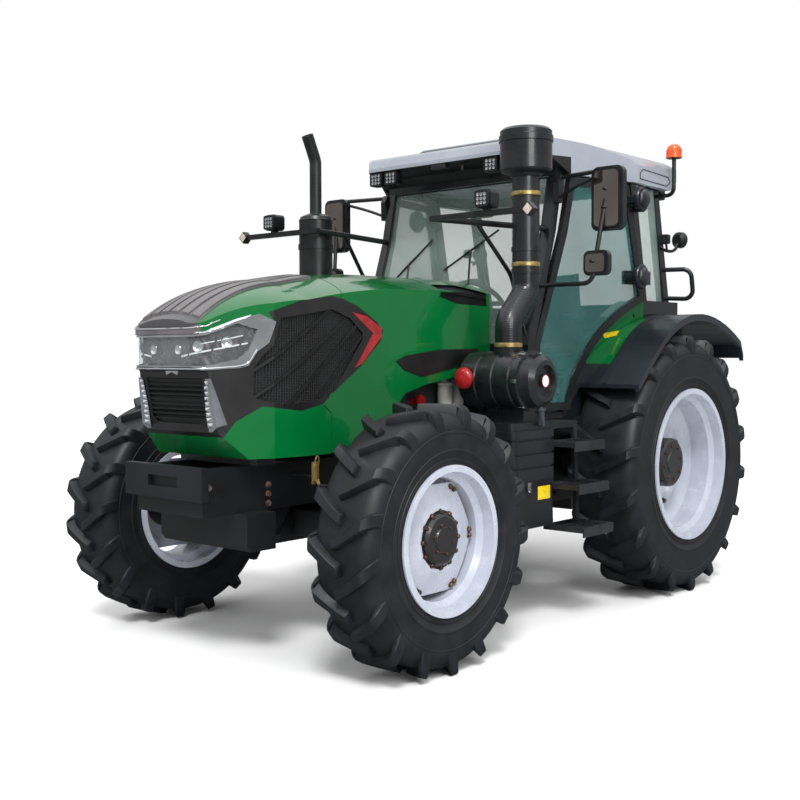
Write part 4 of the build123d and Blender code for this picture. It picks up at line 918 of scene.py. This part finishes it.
clip = slab((-0.006, -0.012, 0.174), (0.034, 0.012, 0.186), 0.004)
clips = moved(ringed(clip, bright_steel, 6, first=30), (CLIP_X, CLEANER_Y, CLEANER_Z))
piece("air_cleaner_clips", [clips], bright_steel)


# ---------------------------------------------------------------- tanks, boxes and steps
# Rotary-moulded black fuel tanks with a grained skin hang over two lidded steel boxes. The treads are
# folded from sheet, with pressed studs for grip.
tank_plastic = surface("tank_plastic", ("0e0f12", "181a1d"), (0.3, 0.46), patch=3, grain=240, depth=0.0007,
                       Coat_Weight=0.15)
box_paint = surface("box_paint", ("101113", "1a1b1e"), (0.28, 0.45), patch=4, grain=300)
step_paint = surface("step_paint", ("151618", "242628"), (0.35, 0.55), patch=8, grain=280, depth=0.0005)
label_yellow = surface("label_yellow", ("d0b000", "dcc010"), (0.25, 0.36), patch=30, grain=300)
dress(tank_plastic, "fuel_tanks")
dress(box_paint, "side_boxes")
dress(step_paint, "steps")

FILLER_AT = (-0.850, -0.370, 1.213)
FILLER = [(0, TINY), (0, 0.058), (0.012, 0.058), (0.014, 0.050), (0.040, 0.048), (0.046, 0.042),
          (0.046, TINY)]
grip = slab((0.010, -0.006, 0.046), (0.044, 0.006, 0.052), 0.002)
filler = [moved(mesh, FILLER_AT, UPWARD) for mesh in (revolved(FILLER), ringed(grip, tank_plastic, 12))]
piece("tank_filler_cap", filler, tank_plastic)

LATCH_Y = -0.43
box_latch = [slab((0.964, LATCH_Y - 0.018, 0.815), (0.978, LATCH_Y + 0.018, 0.872), 0.004),
             rod([(0.976, LATCH_Y - 0.012, 0.822), (0.986, LATCH_Y, 0.816),
                  (0.976, LATCH_Y + 0.012, 0.822)], 0.003)]
piece("box_latches", pair(box_latch), bright_steel)
box_label = slab((0.9596, -0.321, 0.760), (0.9614, -0.193, 0.838), 0.0004)
piece("box_label_blank", [box_label], label_yellow)

TREADS = ((1.090, 0.900), (0.840, 0.930), (0.590, 0.960))     # height of a tread, x of its inner edge
ROW_XS = (0.025, 0.188)                 # the two rows of studs, from that edge
stud = moved(revolved([(0, TINY), (-0.001, 0.0075), (0.0015, 0.0065), (0.003, 0.004), (0.003, TINY)],
                      steps=12), (0, 0, 0), UPWARD)
row = repeated(stud, step_paint, 9, step=(0, 0.0375, 0))
studs = [moved(row, (x + inner, -0.12, height)) for height, x in TREADS for inner in ROW_XS]
piece("tread_studs", pair(studs), step_paint)


# ---------------------------------------------------------------- bonnet latch
# A brassy toggle latch on each side hooks the bonnet's lower edge down to a bracket on the frame.
# Its plate, lever and wire loops are pressed and bent steel.
arm = slab((0.258, -1.652, 0.968), (0.428, -1.608, 0.978), 0.002)
piece("latch_brackets", pair([arm]), hitch_paint)
pull = [(0.449, -1.638, 0.955), (0.458, -1.630, 0.930), (0.449, -1.622, 0.955)]
loop = [(0.446, -1.640, 1.030), (0.447, -1.641, 1.066), (0.447, -1.630, 1.079), (0.447, -1.619, 1.066),
        (0.446, -1.620, 1.030)]
bonnet_latch = [slab((0.428, -1.655, 0.930), (0.436, -1.605, 1.048), 0.003),
                slab((0.436, -1.645, 0.946), (0.446, -1.615, 1.036), 0.003), rod(pull, 0.004),
                rod(loop, 0.003)]
piece("bonnet_latches", pair(bonnet_latch), brass)


# ---------------------------------------------------------------- fenders
# Pressed green shoulders beside the cab run into black moulded flares. Black caps cover the screws at
# both ends of a shoulder, and a blank yellow label is stuck across it.
flare_plastic = surface("flare_plastic", ("15191f", "20252c"), (0.3, 0.44), patch=2, grain=300,
                        depth=0.0004, Coat_Weight=0.15)
shoulder_paint = black_in_green("shoulder_paint", ("15171a", 0.4, ("Y", ">", 1.115)),
                                ("1b1f25", 0.4, ("Z", "<", 1.545)))
dress(shoulder_paint, "fenders")
dress(flare_plastic, "fender_flares")
DOOR_FRONT_X, DOOR_SLOPE = 0.640, 0.2


def shoulder_point(y, z, lift):
    """A point over the shoulder's outer wall, which runs along the door's plane."""
    return (DOOR_FRONT_X + DOOR_SLOPE * y - 0.006 + lift, y, z)


LABEL_CORNERS = ((0.735, 1.712), (0.712, 1.744), (0.875, 1.764), (0.850, 1.732))
label_points = [shoulder_point(y, z, lift) for lift in (0.0005, 0.002) for y, z in LABEL_CORNERS]
label_faces = [(0, 1, 2, 3), (7, 6, 5, 4), (0, 4, 5, 1), (1, 5, 6, 2), (2, 6, 7, 3), (3, 7, 4, 0)]
piece("fender_labels_blank", pair([mesh_of("label", label_points, label_faces)]), label_yellow)
CAP = [(0, TINY), (0, 0.011), (0.003, 0.0105), (0.0055, 0.007), (0.006, TINY)]
caps = [moved(revolved(CAP, steps=20), shoulder_point(y, z, 0)) for y, z in ((0.560, 1.545), (1.020, 1.868))]
piece("shoulder_caps", pair(caps), flare_plastic)


# ---------------------------------------------------------------- cab frame and windscreen
# Welded square tube in satin black is the cab's cage, on a floor covered with rubber. Rubber strips bed
# the tinted panes, and two wipers hang from their pivots before the windscreen.
cab_paint = surface("cab_paint", ("101214", "1a1c1f"), (0.24, 0.4), patch=3, grain=300, Coat_Weight=0.2)
floor_rubber = surface("floor_rubber", ("17181a", "232427"), (0.6, 0.8), patch=9, grain=180, depth=0.001)
rubber_seal = surface("rubber_seal", ("0c0c0d", "151516"), (0.5, 0.68), patch=20, grain=500)
dress(cab_paint, "cab_frame", "door_left_frame", "door_right_frame")
dress(floor_rubber, "cab_floor")
# The windscreen's pale grey-green is partly its tint and partly a painted reflection of the sky.
dress(clear_material("screen_glass", ("8fa59d", "9cb1a9"), (0.14, 0.6)), "cab_glass")
dress(clear_material("door_glass", ("386765", "457572"), (0.32, 0.75)), "door_left_glass",
      "door_right_glass")

SCREEN_FOOT = (-0.030, 1.665, 0.3329)   # y and z where the lower part starts, and its slope
SCREEN_BEND = (0.210, 2.386, 0.2119)    # the same for the upper part
SCREEN_X, SCREEN_LOW, SCREEN_HIGH = 0.632, 1.672, 2.730


def screen_point(x, z, lift):
    """A point before the windscreen, which leans back in two steps."""
    start_y, start_z, slope = SCREEN_FOOT if z < SCREEN_BEND[1] else SCREEN_BEND
    return (x, start_y + (z - start_z) * slope - lift, z)


heights = (SCREEN_LOW, SCREEN_BEND[1], SCREEN_HIGH)
screen_bed = [screen_point(side * SCREEN_X, z, 0.002)
              for side, zs in ((-1, heights), (1, heights[::-1]), (-1, heights[:1])) for z in zs]
piece("screen_seal", [rod(screen_bed, 0.007, smooth=False)], rubber_seal)

WIPERS = (
    # x and z of the pivot, of the blade's middle, and of the blade's half length as a step
    ((0.220, 1.700), (0.110, 2.295), (0.196, 0.123)),
    ((-0.330, 1.700), (-0.400, 2.230), (0.160, 0.160)),
)


def blade_point(middle, step, share, lift):
    """A point before the windscreen, part of the way along a wiper's blade from its middle."""
    return screen_point(middle[0] + share * step[0], middle[1] + share * step[1], lift)


wipers = []
for pivot, middle, step in WIPERS:
    blade = [blade_point(middle, step, share, 0.011) for share in (-1, 0, 1)]
    bow = [blade_point(middle, step, share, lift)
           for share, lift in ((-0.5, 0.016), (0, 0.022), (0.5, 0.016))]
    for points, radius in (([screen_point(*pivot, 0.0), screen_point(*pivot, 0.034)], 0.014),
                           ([screen_point(*pivot, 0.032), screen_point(*middle, 0.020)], 0.007),
                           (blade, 0.007), (bow, 0.004)):
        wipers.append(rod(points, radius, smooth=False))
piece("wipers", wipers, rubber_seal)


# ---------------------------------------------------------------- roof
# The roof is moulded in pale grey plastic over the cage; its underside in front is coloured near-black as
# painted shade under the lip. Its hatch beds on a black seal, and two small sensors hang under the front
# edge.
roof_paint = surface("roof_paint", ("8d929d", "999ea8"), (0.22, 0.34), patch=1.5, grain=420, depth=0.0002,
                     Coat_Weight=0.3)
# painted shade: near-black under the roof's front lip, below z 2.852 and ahead of y 0.335
masked(roof_paint, "131416", 0.5, ("Z", "<", 2.852), ("Y", "<", 0.335))
dress(roof_paint, "cab_roof")
probe = revolved([(0, TINY), (0, 0.016), (0.030, 0.014), (0.034, TINY)], steps=20)
roof_fittings = [slab((-0.060, -0.045, 2.815), (0.060, 0.010, 2.850), 0.008),
                 moved(probe, (0.15, 0.02, 2.830), DOWNWARD)]
piece("roof_sensors", roof_fittings, cab_paint)

hatch = prism([(-0.360, 0.230), (0.360, 0.230), (0.400, 0.820), (-0.400, 0.820)], "z", 2.986, 3.012, 0.008)
piece("roof_hatch", [hatch], roof_paint)
HATCH_LINE = [(-0.366, 0.224, 2.992), (0.366, 0.224, 2.992), (0.406, 0.826, 3.000), (-0.406, 0.826, 3.000)]
RECESS = [(0.985, 2.775), (0.985, 2.812), (1.025, 2.842), (1.400, 2.832), (1.440, 2.800), (1.380, 2.768)]


def roof_side(y, z, lift):
    """A point over the roof's left side, which draws in a little towards the rear."""
    return (0.900 - (y - 0.960) * 0.0345 + lift, y, z)


roof_lines = [rod(HATCH_LINE + HATCH_LINE[:1], 0.008, smooth=False)]
recess_line = [roof_side(y, z, 0.001) for y, z in RECESS + RECESS[:1]]
roof_lines += pair([rod(recess_line, 0.0035, smooth=False)])
piece("roof_lines", roof_lines, cab_paint)


# ---------------------------------------------------------------- doors
# Each door is a pane in a steel frame, hung on two hinges at its rear edge. The hinges sit under round
# moulded black covers with a toothed edge and a six-sided boss.
COVER = [(0, TINY), (0, 0.056), (0.008, 0.076), (0.018, 0.081), (0.034, 0.081), (0.044, 0.074),
         (0.048, TINY)]
BOSS = [(0.046, TINY), (0.046, 0.064), (0.060, 0.058), (0.070, 0.042), (0.070, TINY)]
COVER_X, COVER_Y, COVER_ZS = 0.930, 0.899, (2.625, 2.119)
tooth = slab((0.014, -0.0045, 0.078), (0.036, 0.0045, 0.0845), 0.0015)
cover = [revolved(COVER, steps=40), revolved(BOSS, steps=6), ringed(tooth, flare_plastic, 24)]
covers = []
for z in COVER_ZS:
    covers += [moved(mesh, (COVER_X, COVER_Y, z)) for mesh in cover]
    covers.append(slab((0.848, 0.862, z - 0.022), (0.934, 0.905, z + 0.022), 0.006))
for side, meshes in (("left", covers), ("right", [flipped(mesh) for mesh in covers])):
    piece(f"hinge_covers_{side}", meshes, flare_plastic, f"door_{side}")


# ---------------------------------------------------------------- seat
# A sprung driver's seat: foam cushions in dark red cloth with sewn channels, on a steel base whose
# suspension hides in a rubber bellows.
def fabric_material():
    """Woven upholstery: two crossed threads under soft patches of wear."""
    made = surface("seat_cloth", ("4a1216", "64191e"), (0.75, 0.95), patch=8, grain=500, depth=0.0008,
                   Sheen_Weight=0.3)
    tree, skin, place = insides(made)
    warp, weft = (add_node(tree, "ShaderNodeTexWave", {"Vector": place, "Scale": 90.0}, bands_direction=way)
                  for way in "XZ")
    cross = add_node(tree, "ShaderNodeMath", {0: warp.outputs["Fac"], 1: weft.outputs["Fac"]},
                     operation="MULTIPLY")
    threads = add_node(tree, "ShaderNodeBump", {
        "Height": cross.outputs[0], "Distance": 0.001, "Strength": 0.5})
    tree.links.new(threads.outputs["Normal"], skin.inputs["Normal"])
    return made


SEAM_X, SEAM_WIDTH, SEAM_DEPTH = 0.45, 0.028, 0.07     # of a sewn channel, as shares of half the pad


def cushion(size, place):
    """A stuffed pad in its own frame: crowned faces, sides pulled in between the corners, channels."""
    half = Vector(size) / 2
    work = bmesh.new()
    bmesh.ops.create_cube(work, size=2)
    bmesh.ops.subdivide_edges(work, edges=work.edges[:], cuts=31, use_grid_fill=True)
    for vertex in work.verts:
        u, v, w = vertex.co
        round_x, round_y = (1 - 0.03 * (1 - abs(way) ** 2.0) ** 0.8 for way in (v, u))
        edge = 1 - 0.10 * (max(0, abs(w) - 0.45) / 0.55) ** 2
        swell = 1 + 0.08 * (1 - u * u) * (1 - v * v) - 0.34 * max(abs(u), abs(v)) ** 8
        seam = sum(SEAM_DEPTH * exp(-((u - x) / SEAM_WIDTH) ** 2) for x in (-SEAM_X, SEAM_X))
        vertex.co = (half.x * u * round_x * edge, half.y * v * round_y * edge,
                     half.z * w * (swell - seam * (1 - abs(v) ** 6)))
    made = bpy.data.meshes.new("cushion")
    work.to_mesh(made)
    work.free()
    made.transform(place)
    return made


cloth = fabric_material()
PADS = (
    # name, size, place
    ("seat_cushion", (0.470, 0.440, 0.092), Matrix.Translation((0, 1.105, 1.632))),
    ("seat_back", (0.450, 0.530, 0.086),
     Matrix.Translation((0, 1.350, 1.930)) @ Matrix.Rotation(radians(-80), 4, "X")),
)
for name, size, place in PADS:
    made = piece(name, [cushion(size, place)], cloth, sharp=80)
ARM_PAD = [(1.010, 1.850), (1.350, 1.850), (1.350, 1.892), (1.010, 1.892)]
ARM_POST = [(1.292, 1.780), (1.345, 1.780), (1.345, 1.860), (1.292, 1.860)]
armrest = [prism(ARM_PAD, "x", 0.247, 0.288, 0.012, segments=4), prism(ARM_POST, "x", 0.228, 0.268, 0.008)]
piece("seat_armrests", pair(armrest), floor_rubber)

OUTER_FOLD, INNER_FOLD, PITCH = 0.20, 0.17, 0.030
bellows = [(0, TINY), (0, OUTER_FOLD)]
for fold in range(8):
    bellows += [(0.020 + fold * PITCH, OUTER_FOLD), (0.035 + fold * PITCH, INNER_FOLD)]
bellows += [(0.262, OUTER_FOLD), (0.262, TINY)]
sleeve = moved(revolved(bellows, steps=4), (0, 0, 0), (45, "X"))
sleeve.transform(Matrix.Diagonal((1.0, 1.03, 1.10, 1)))
base = [slab((-0.200, 0.920, 1.500), (0.200, 1.310, 1.580), 0.012), moved(sleeve, (0, 1.120, 1.238), UPWARD)]
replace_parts(piece("seat_base", base, floor_rubber), "seat")


# ---------------------------------------------------------------- dash and steering wheel
# A moulded instrument pod with a blank dial cluster stands behind the bulkhead. The wheel is a padded
# plastic rim on a steel column.
dash_plastic = surface("dash_plastic", ("1c1d1f", "292a2d"), (0.45, 0.62), patch=7, grain=320, depth=0.0006)
dress(dash_plastic, "dash_console")
WHEEL_BOSS = [(-0.03, TINY), (-0.03, 0.040), (0.012, 0.052), (0.022, 0.040), (0.026, TINY)]
wheel_place = (Matrix.Translation((0, 0.400, 1.950)) @ Matrix.Rotation(radians(-45), 4, "X")
               @ Matrix.Rotation(radians(-90), 4, "Y"))
wheel = [hoop(0, 0.200, 0.0165, steps=72), revolved(WHEEL_BOSS, steps=32)]
for mesh in wheel:
    mesh.transform(wheel_place)
piece("steering_wheel", wheel, dash_plastic)


# ---------------------------------------------------------------- mirrors
# Black moulded mirror heads with silvered glass, one above the other on each side. They clamp to a
# steel tube that a moulded bracket holds to the cab's front post.
mirror_plastic = surface("mirror_plastic", ("0f1012", "191b1d"), (0.25, 0.4), patch=6, grain=300)
silvering = surface("mirror_glass", ("8d857f", "a39a92"), (0.02, 0.05), patch=3, grain=20, depth=0.0,
                    Metallic=1.0)
dress(mirror_plastic, "mirrors")


def rounded(half_width, half_height, radius, steps=5):
    """The outline of a rectangle with round corners, about its middle."""
    outline = []
    for quarter, (sx, sz) in enumerate(((1, 1), (-1, 1), (-1, -1), (1, -1))):
        for k in range(steps + 1):
            angle = pi / 2 * (quarter + k / steps)
            outline.append((sx * (half_width - radius) + radius * cos(angle),
                            sz * (half_height - radius) + radius * sin(angle)))
    return outline


def tile(centre, half_width, half_height, radius, depth):
    """A rounded plate that faces fore and aft; depth gives its two sides from the centre's y."""
    outline = [(centre[0] + x, centre[2] + z) for x, z in rounded(half_width, half_height, radius)]
    return prism(outline, "y", centre[1] + depth[0], centre[1] + depth[1])


PANE = (-0.0015, 0)
panes = [tile((1.125, 0.155, 2.545), 0.082, 0.167, 0.030, PANE),
         tile((1.095, 0.078, 2.155), 0.064, 0.054, 0.024, PANE)]
piece("mirror_panes", pair(panes), silvering)
CLAMPED = ((1.118, 0.166, 2.600), (1.112, 0.160, 2.490), (1.078, 0.086, 2.165))     # places on the tube
mirror_clamp = [moved(hoop(0, 0.012, 0.010, steps=24), point, UPWARD) for point in CLAMPED]
mirror_clamp.append(rod([(0.686, 0.262, 2.575), (0.860, 0.236, 2.640), (1.075, 0.208, 2.704)], 0.010))
BRACKET = [(0.236, 2.560), (0.288, 2.560), (0.300, 2.730), (0.262, 2.740), (0.232, 2.690)]
mirror_clamp.append(prism(BRACKET, "x", 0.698, 0.742, 0.006))
piece("mirror_clamps", pair(mirror_clamp), mirror_plastic)


# ---------------------------------------------------------------- work lamps and indicators
# The work lamps are cast boxes with nine light cells and a moulded bezel each, and cooling fins behind
# the lowest pair. The indicators are pale moulded diamonds, one facing ahead and one astern.
lamp_paint = surface("lamp_paint", ("0e0f10", "181a1b"), (0.3, 0.46), patch=10, grain=320)
cell_silver = surface("cell_silver", ("b4b8ba", "d2d5d6"), (0.12, 0.25), patch=60, grain=200, Metallic=0.9)
indicator_lens = surface("indicator_lens", ("a39a92", "c9b9a8"), (0.1, 0.2), patch=60, grain=160,
                         Coat_Weight=0.7)
dress(lamp_paint, "work_lamps")
LAMPS = (
    # middle of the lamp's face, half width, half height, which way it faces
    ((0.863, -0.745, 2.478), 0.040, 0.039, -1),
    ((0.415, -0.040, 2.802), 0.046, 0.039, -1),
    ((0.545, -0.040, 2.802), 0.046, 0.039, -1),
    ((0.745, 1.530, 2.740), 0.046, 0.039, 1),
)
FACE_DEPTH = 0.0015
CELL = [(0, TINY), (0, 0.010), (0.0022, 0.0102), (0.0018, 0.0086), (0.0004, 0.004), (0.0012, TINY)]
CELL_PLACES = [(i * 0.6, k * 0.6) for i in (-1, 0, 1) for k in (-1, 0, 1)]     # shares of the half sizes
cell = revolved(CELL, steps=16)
faces, cells, bezels = [], [], []
for (x, y, z), half_x, half_z, way in LAMPS:
    faces.append(tile((x, y, z), half_x, half_z, 0.008, sorted((0.0, way * FACE_DEPTH))))
    cells += [moved(cell, (x + i * half_x, y + way * FACE_DEPTH, z + k * half_z), (90 * way, "Z"))
              for i, k in CELL_PLACES]
    bezel = [(x + a, y + way * 0.002, z + b) for a, b in rounded(half_x + 0.004, half_z + 0.004, 0.010)]
    bezels.append(rod(bezel + bezel[:1], 0.0028, sides=8, smooth=False))
piece("lamp_faces", pair(faces), lamp_paint)
piece("lamp_cells", pair(cells), cell_silver)
piece("lamp_bezels", pair(bezels), lamp_paint)
fins = [slab((0.818, -0.660, z - 0.002), (0.908, -0.640, z + 0.002), 0.001)
        for z in (2.445 + i * 0.011 for i in range(7))]
piece("lamp_fins", pair(fins), lamp_paint)
DIAMOND = [(1.150, 2.3672), (1.18116, 2.400), (1.150, 2.4328), (1.11884, 2.400)]
indicators = [prism(DIAMOND, "y", low, high, 0.002) for low, high in ((-0.7185, -0.7145), (-0.6655, -0.6615))]
piece("indicator_lenses", pair(indicators), indicator_lens)


# ---------------------------------------------------------------- warning beacon
# A fluted orange dome of glossy plastic, which glows a little, clips over the lamp. Its black moulded
# foot stands at the roof's rear left corner.
BEACON_AT = (0.935, 1.395, 0)
LENS_SEAT = 2.973                       # above this height the beacon is orange
DOME = [(2.958, TINY), (2.958, 0.056), (2.967, 0.056), (2.971, 0.051), (3.016, 0.049), (3.036, 0.043),
        (3.050, 0.026), (3.055, TINY)]
beacon_orange = surface("beacon_orange", ("d9420c", "ef5a1c"), (0.12, 0.25), patch=14, grain=120,
                        Coat_Weight=0.8, Emission_Color=tone("ff5a10"), Emission_Strength=0.12)
recoated("beacon", "warning_beacon", [lamp_paint, beacon_orange],
         lambda centre, normal: int(centre.z > LENS_SEAT))
flute = slab((2.974, -0.0016, 0.0470), (3.014, 0.0016, 0.0525), 0.0008)
dome = [moved(mesh, BEACON_AT, UPWARD)
        for mesh in (revolved(DOME, steps=64), ringed(flute, beacon_orange, 24))]
piece("beacon_dome", dome, beacon_orange)


# ---------------------------------------------------------------- rear side lamps
# A round moulded lamp hangs at each rear corner of the cab. Its bent steel pipe and a short stay are
# fixed in a moulded block on the corner post.
SIDE_LAMP = [(0, TINY), (0, 0.040), (0.014, 0.056), (0.050, 0.058), (0.060, 0.048), (0.060, TINY)]
HOOK = [(0.790, 1.462, 2.360), (0.845, 1.475, 2.330), (0.870, 1.540, 2.340), (0.868, 1.590, 2.395)]
STAY = [(0.845, 1.475, 2.335), (0.858, 1.440, 2.360), (0.858, 1.436, 2.390)]
side_lamp = [rod(HOOK, 0.011), moved(revolved(SIDE_LAMP, steps=28), (0.868, 1.572, 2.412), (75, "Z")),
             slab((0.830, 1.396, 2.372), (0.890, 1.446, 2.440), 0.012), rod(STAY, 0.008)]
piece("rear_side_lamps", pair(side_lamp), lamp_paint)


# ---------------------------------------------------------------- hitch and power take-off
# Forged links with pressed-in ball ends hang from lift rods, which screw in and out to level an
# implement. The power take-off's steel stub between them has six milled splines.
BALL = [(-0.023, 0.0145), (-0.023, 0.024), (-0.012, 0.031), (0.012, 0.031), (0.023, 0.024),
        (0.023, 0.0145)]
ball = moved(revolved(BALL, steps=32), (0.430, 2.258, pivots["lower_link_lift"][2]))
piece("link_balls", pair([ball]), bright_steel, "lower_links")

ROD_X, ROD_Y = 0.418, pivots["lift_rod_turn"][1]
turn = hoop(0, 0.0192, 0.0024, steps=20)
nut = revolved([(0, 0.0192), (0, 0.028), (0.120, 0.028), (0.120, 0.0192)], steps=6)
thread = [moved(turn, (ROD_X, ROD_Y, 0.700 + i * 0.007), UPWARD) for i in range(16)]
thread.append(moved(nut, (ROD_X, ROD_Y, 0.815), UPWARD))
piece("lift_rod_threads", pair(thread), bright_steel, "lift_rods")

spline = slab((0.0, -0.0035, 0.0300), (0.062, 0.0035, 0.0345), 0.001)
shaft = moved(ringed(spline, bright_steel, 6), (0, 1.556, 0.700), ASTERN)
piece("shaft_splines", [shaft], bright_steel)


# ---------------------------------------------------------------- studio
# A pale floor and a white surround under soft daylight from overhead. The camera stands ahead of the
# tractor, to its left, at a standing person's eye height.
EYE = (4.64536, -5.89254, 1.62637)
EYE_RIGHT = (0.746329, 0.665571, -0.002848)
EYE_UP = (-0.020827, 0.027631, 0.999401)
EYE_AHEAD = (-0.665251, 0.745823, -0.034484)
HORIZON, ZENITH = 0.30, 1.25            # how bright the surround is to everything but the camera
SOFTBOX_AT, SOFTBOX_AWAY = (6.2, -3.6, 4.2), (6.0, -2.8, 3.0)     # its middle, and away from the tractor
FLOOR_HALF = 30


def staged(name, data):
    """An object of the studio, linked to the scene."""
    made = bpy.data.objects.new(name, data)
    scene.collection.objects.link(made)
    return made


camera_data = bpy.data.cameras.new("camera")
camera_data.sensor_width = 36
camera_data.lens = 51.2
camera_data.shift_x, camera_data.shift_y = 0.0335, -0.0111
scene.camera = staged("camera", camera_data)
axes = Matrix((EYE_RIGHT, EYE_UP, [-part for part in EYE_AHEAD])).transposed()
scene.camera.matrix_world = Matrix.Translation(EYE) @ axes.to_4x4()
scene.view_settings.view_transform = "Standard"

scene.world = bpy.data.worlds.new("surround")
scene.world.use_nodes = True
sky = scene.world.node_tree
way = add_node(sky, "ShaderNodeTexCoord", {})
height = add_node(sky, "ShaderNodeSeparateXYZ", {0: way.outputs["Generated"]})
climb = add_node(sky, "ShaderNodeMapRange", {
    "Value": height.outputs["Z"], "From Min": 0.05, "From Max": 0.85, "To Min": HORIZON, "To Max": ZENITH},
    interpolation_type="SMOOTHSTEP")
paths = add_node(sky, "ShaderNodeLightPath", {})
shows = add_node(sky, "ShaderNodeMath", {
    0: paths.outputs["Is Camera Ray"], 1: paths.outputs["Is Transmission Ray"]}, operation="MAXIMUM")
level = add_node(sky, "ShaderNodeMapRange", {
    "Value": shows.outputs[0], "To Min": climb.outputs["Result"], "To Max": 1.0})
sky.links.new(level.outputs["Result"], sky.nodes["Background"].inputs["Strength"])
sky.nodes["Background"].inputs["Color"].default_value = (1, 1, 1, 1)

sun = bpy.data.lights.new("sun", "SUN")
sun.energy = 2.2
sun.angle = 0.25
staged("sun", sun).rotation_euler = (radians(38), radians(12), radians(25))
softbox = bpy.data.lights.new("softbox", "AREA")
softbox.shape = "RECTANGLE"
softbox.size, softbox.size_y = 2.6, 3.4
softbox.energy = 170
facing = Vector(SOFTBOX_AWAY).to_track_quat("Z", "Y").to_matrix().to_4x4()
staged("softbox", softbox).matrix_world = Matrix.Translation(SOFTBOX_AT) @ facing

floor_paint = surface("floor", ("f4f4f4", "f8f8f8"), (0.7, 0.8), patch=0.2, grain=10, depth=0.0)
ground, skin, _ = insides(floor_paint)
# Painted reflection: the white floor shows mid grey to glossy rays only, darkening what paint and chrome
# mirror.
bounce = add_node(ground, "ShaderNodeLightPath", {})
grey_in_reflections = add_node(ground, "ShaderNodeMix", {
    0: bounce.outputs["Is Glossy Ray"], 6: skin.inputs["Base Color"].links[0].from_socket,
    7: tone("6a6b6c")}, data_type="RGBA")          # painted reflection: glossy parts mirror the floor as mid grey
ground.links.new(grey_in_reflections.outputs[2], skin.inputs["Base Color"])
corners = [(x * FLOOR_HALF, y * FLOOR_HALF) for x, y in ((-1, -1), (1, -1), (1, 1), (-1, 1))]
floor_mesh = prism(corners, "z", -0.02, 0.0)
floor_mesh.materials.append(floor_paint)
staged("floor", floor_mesh)
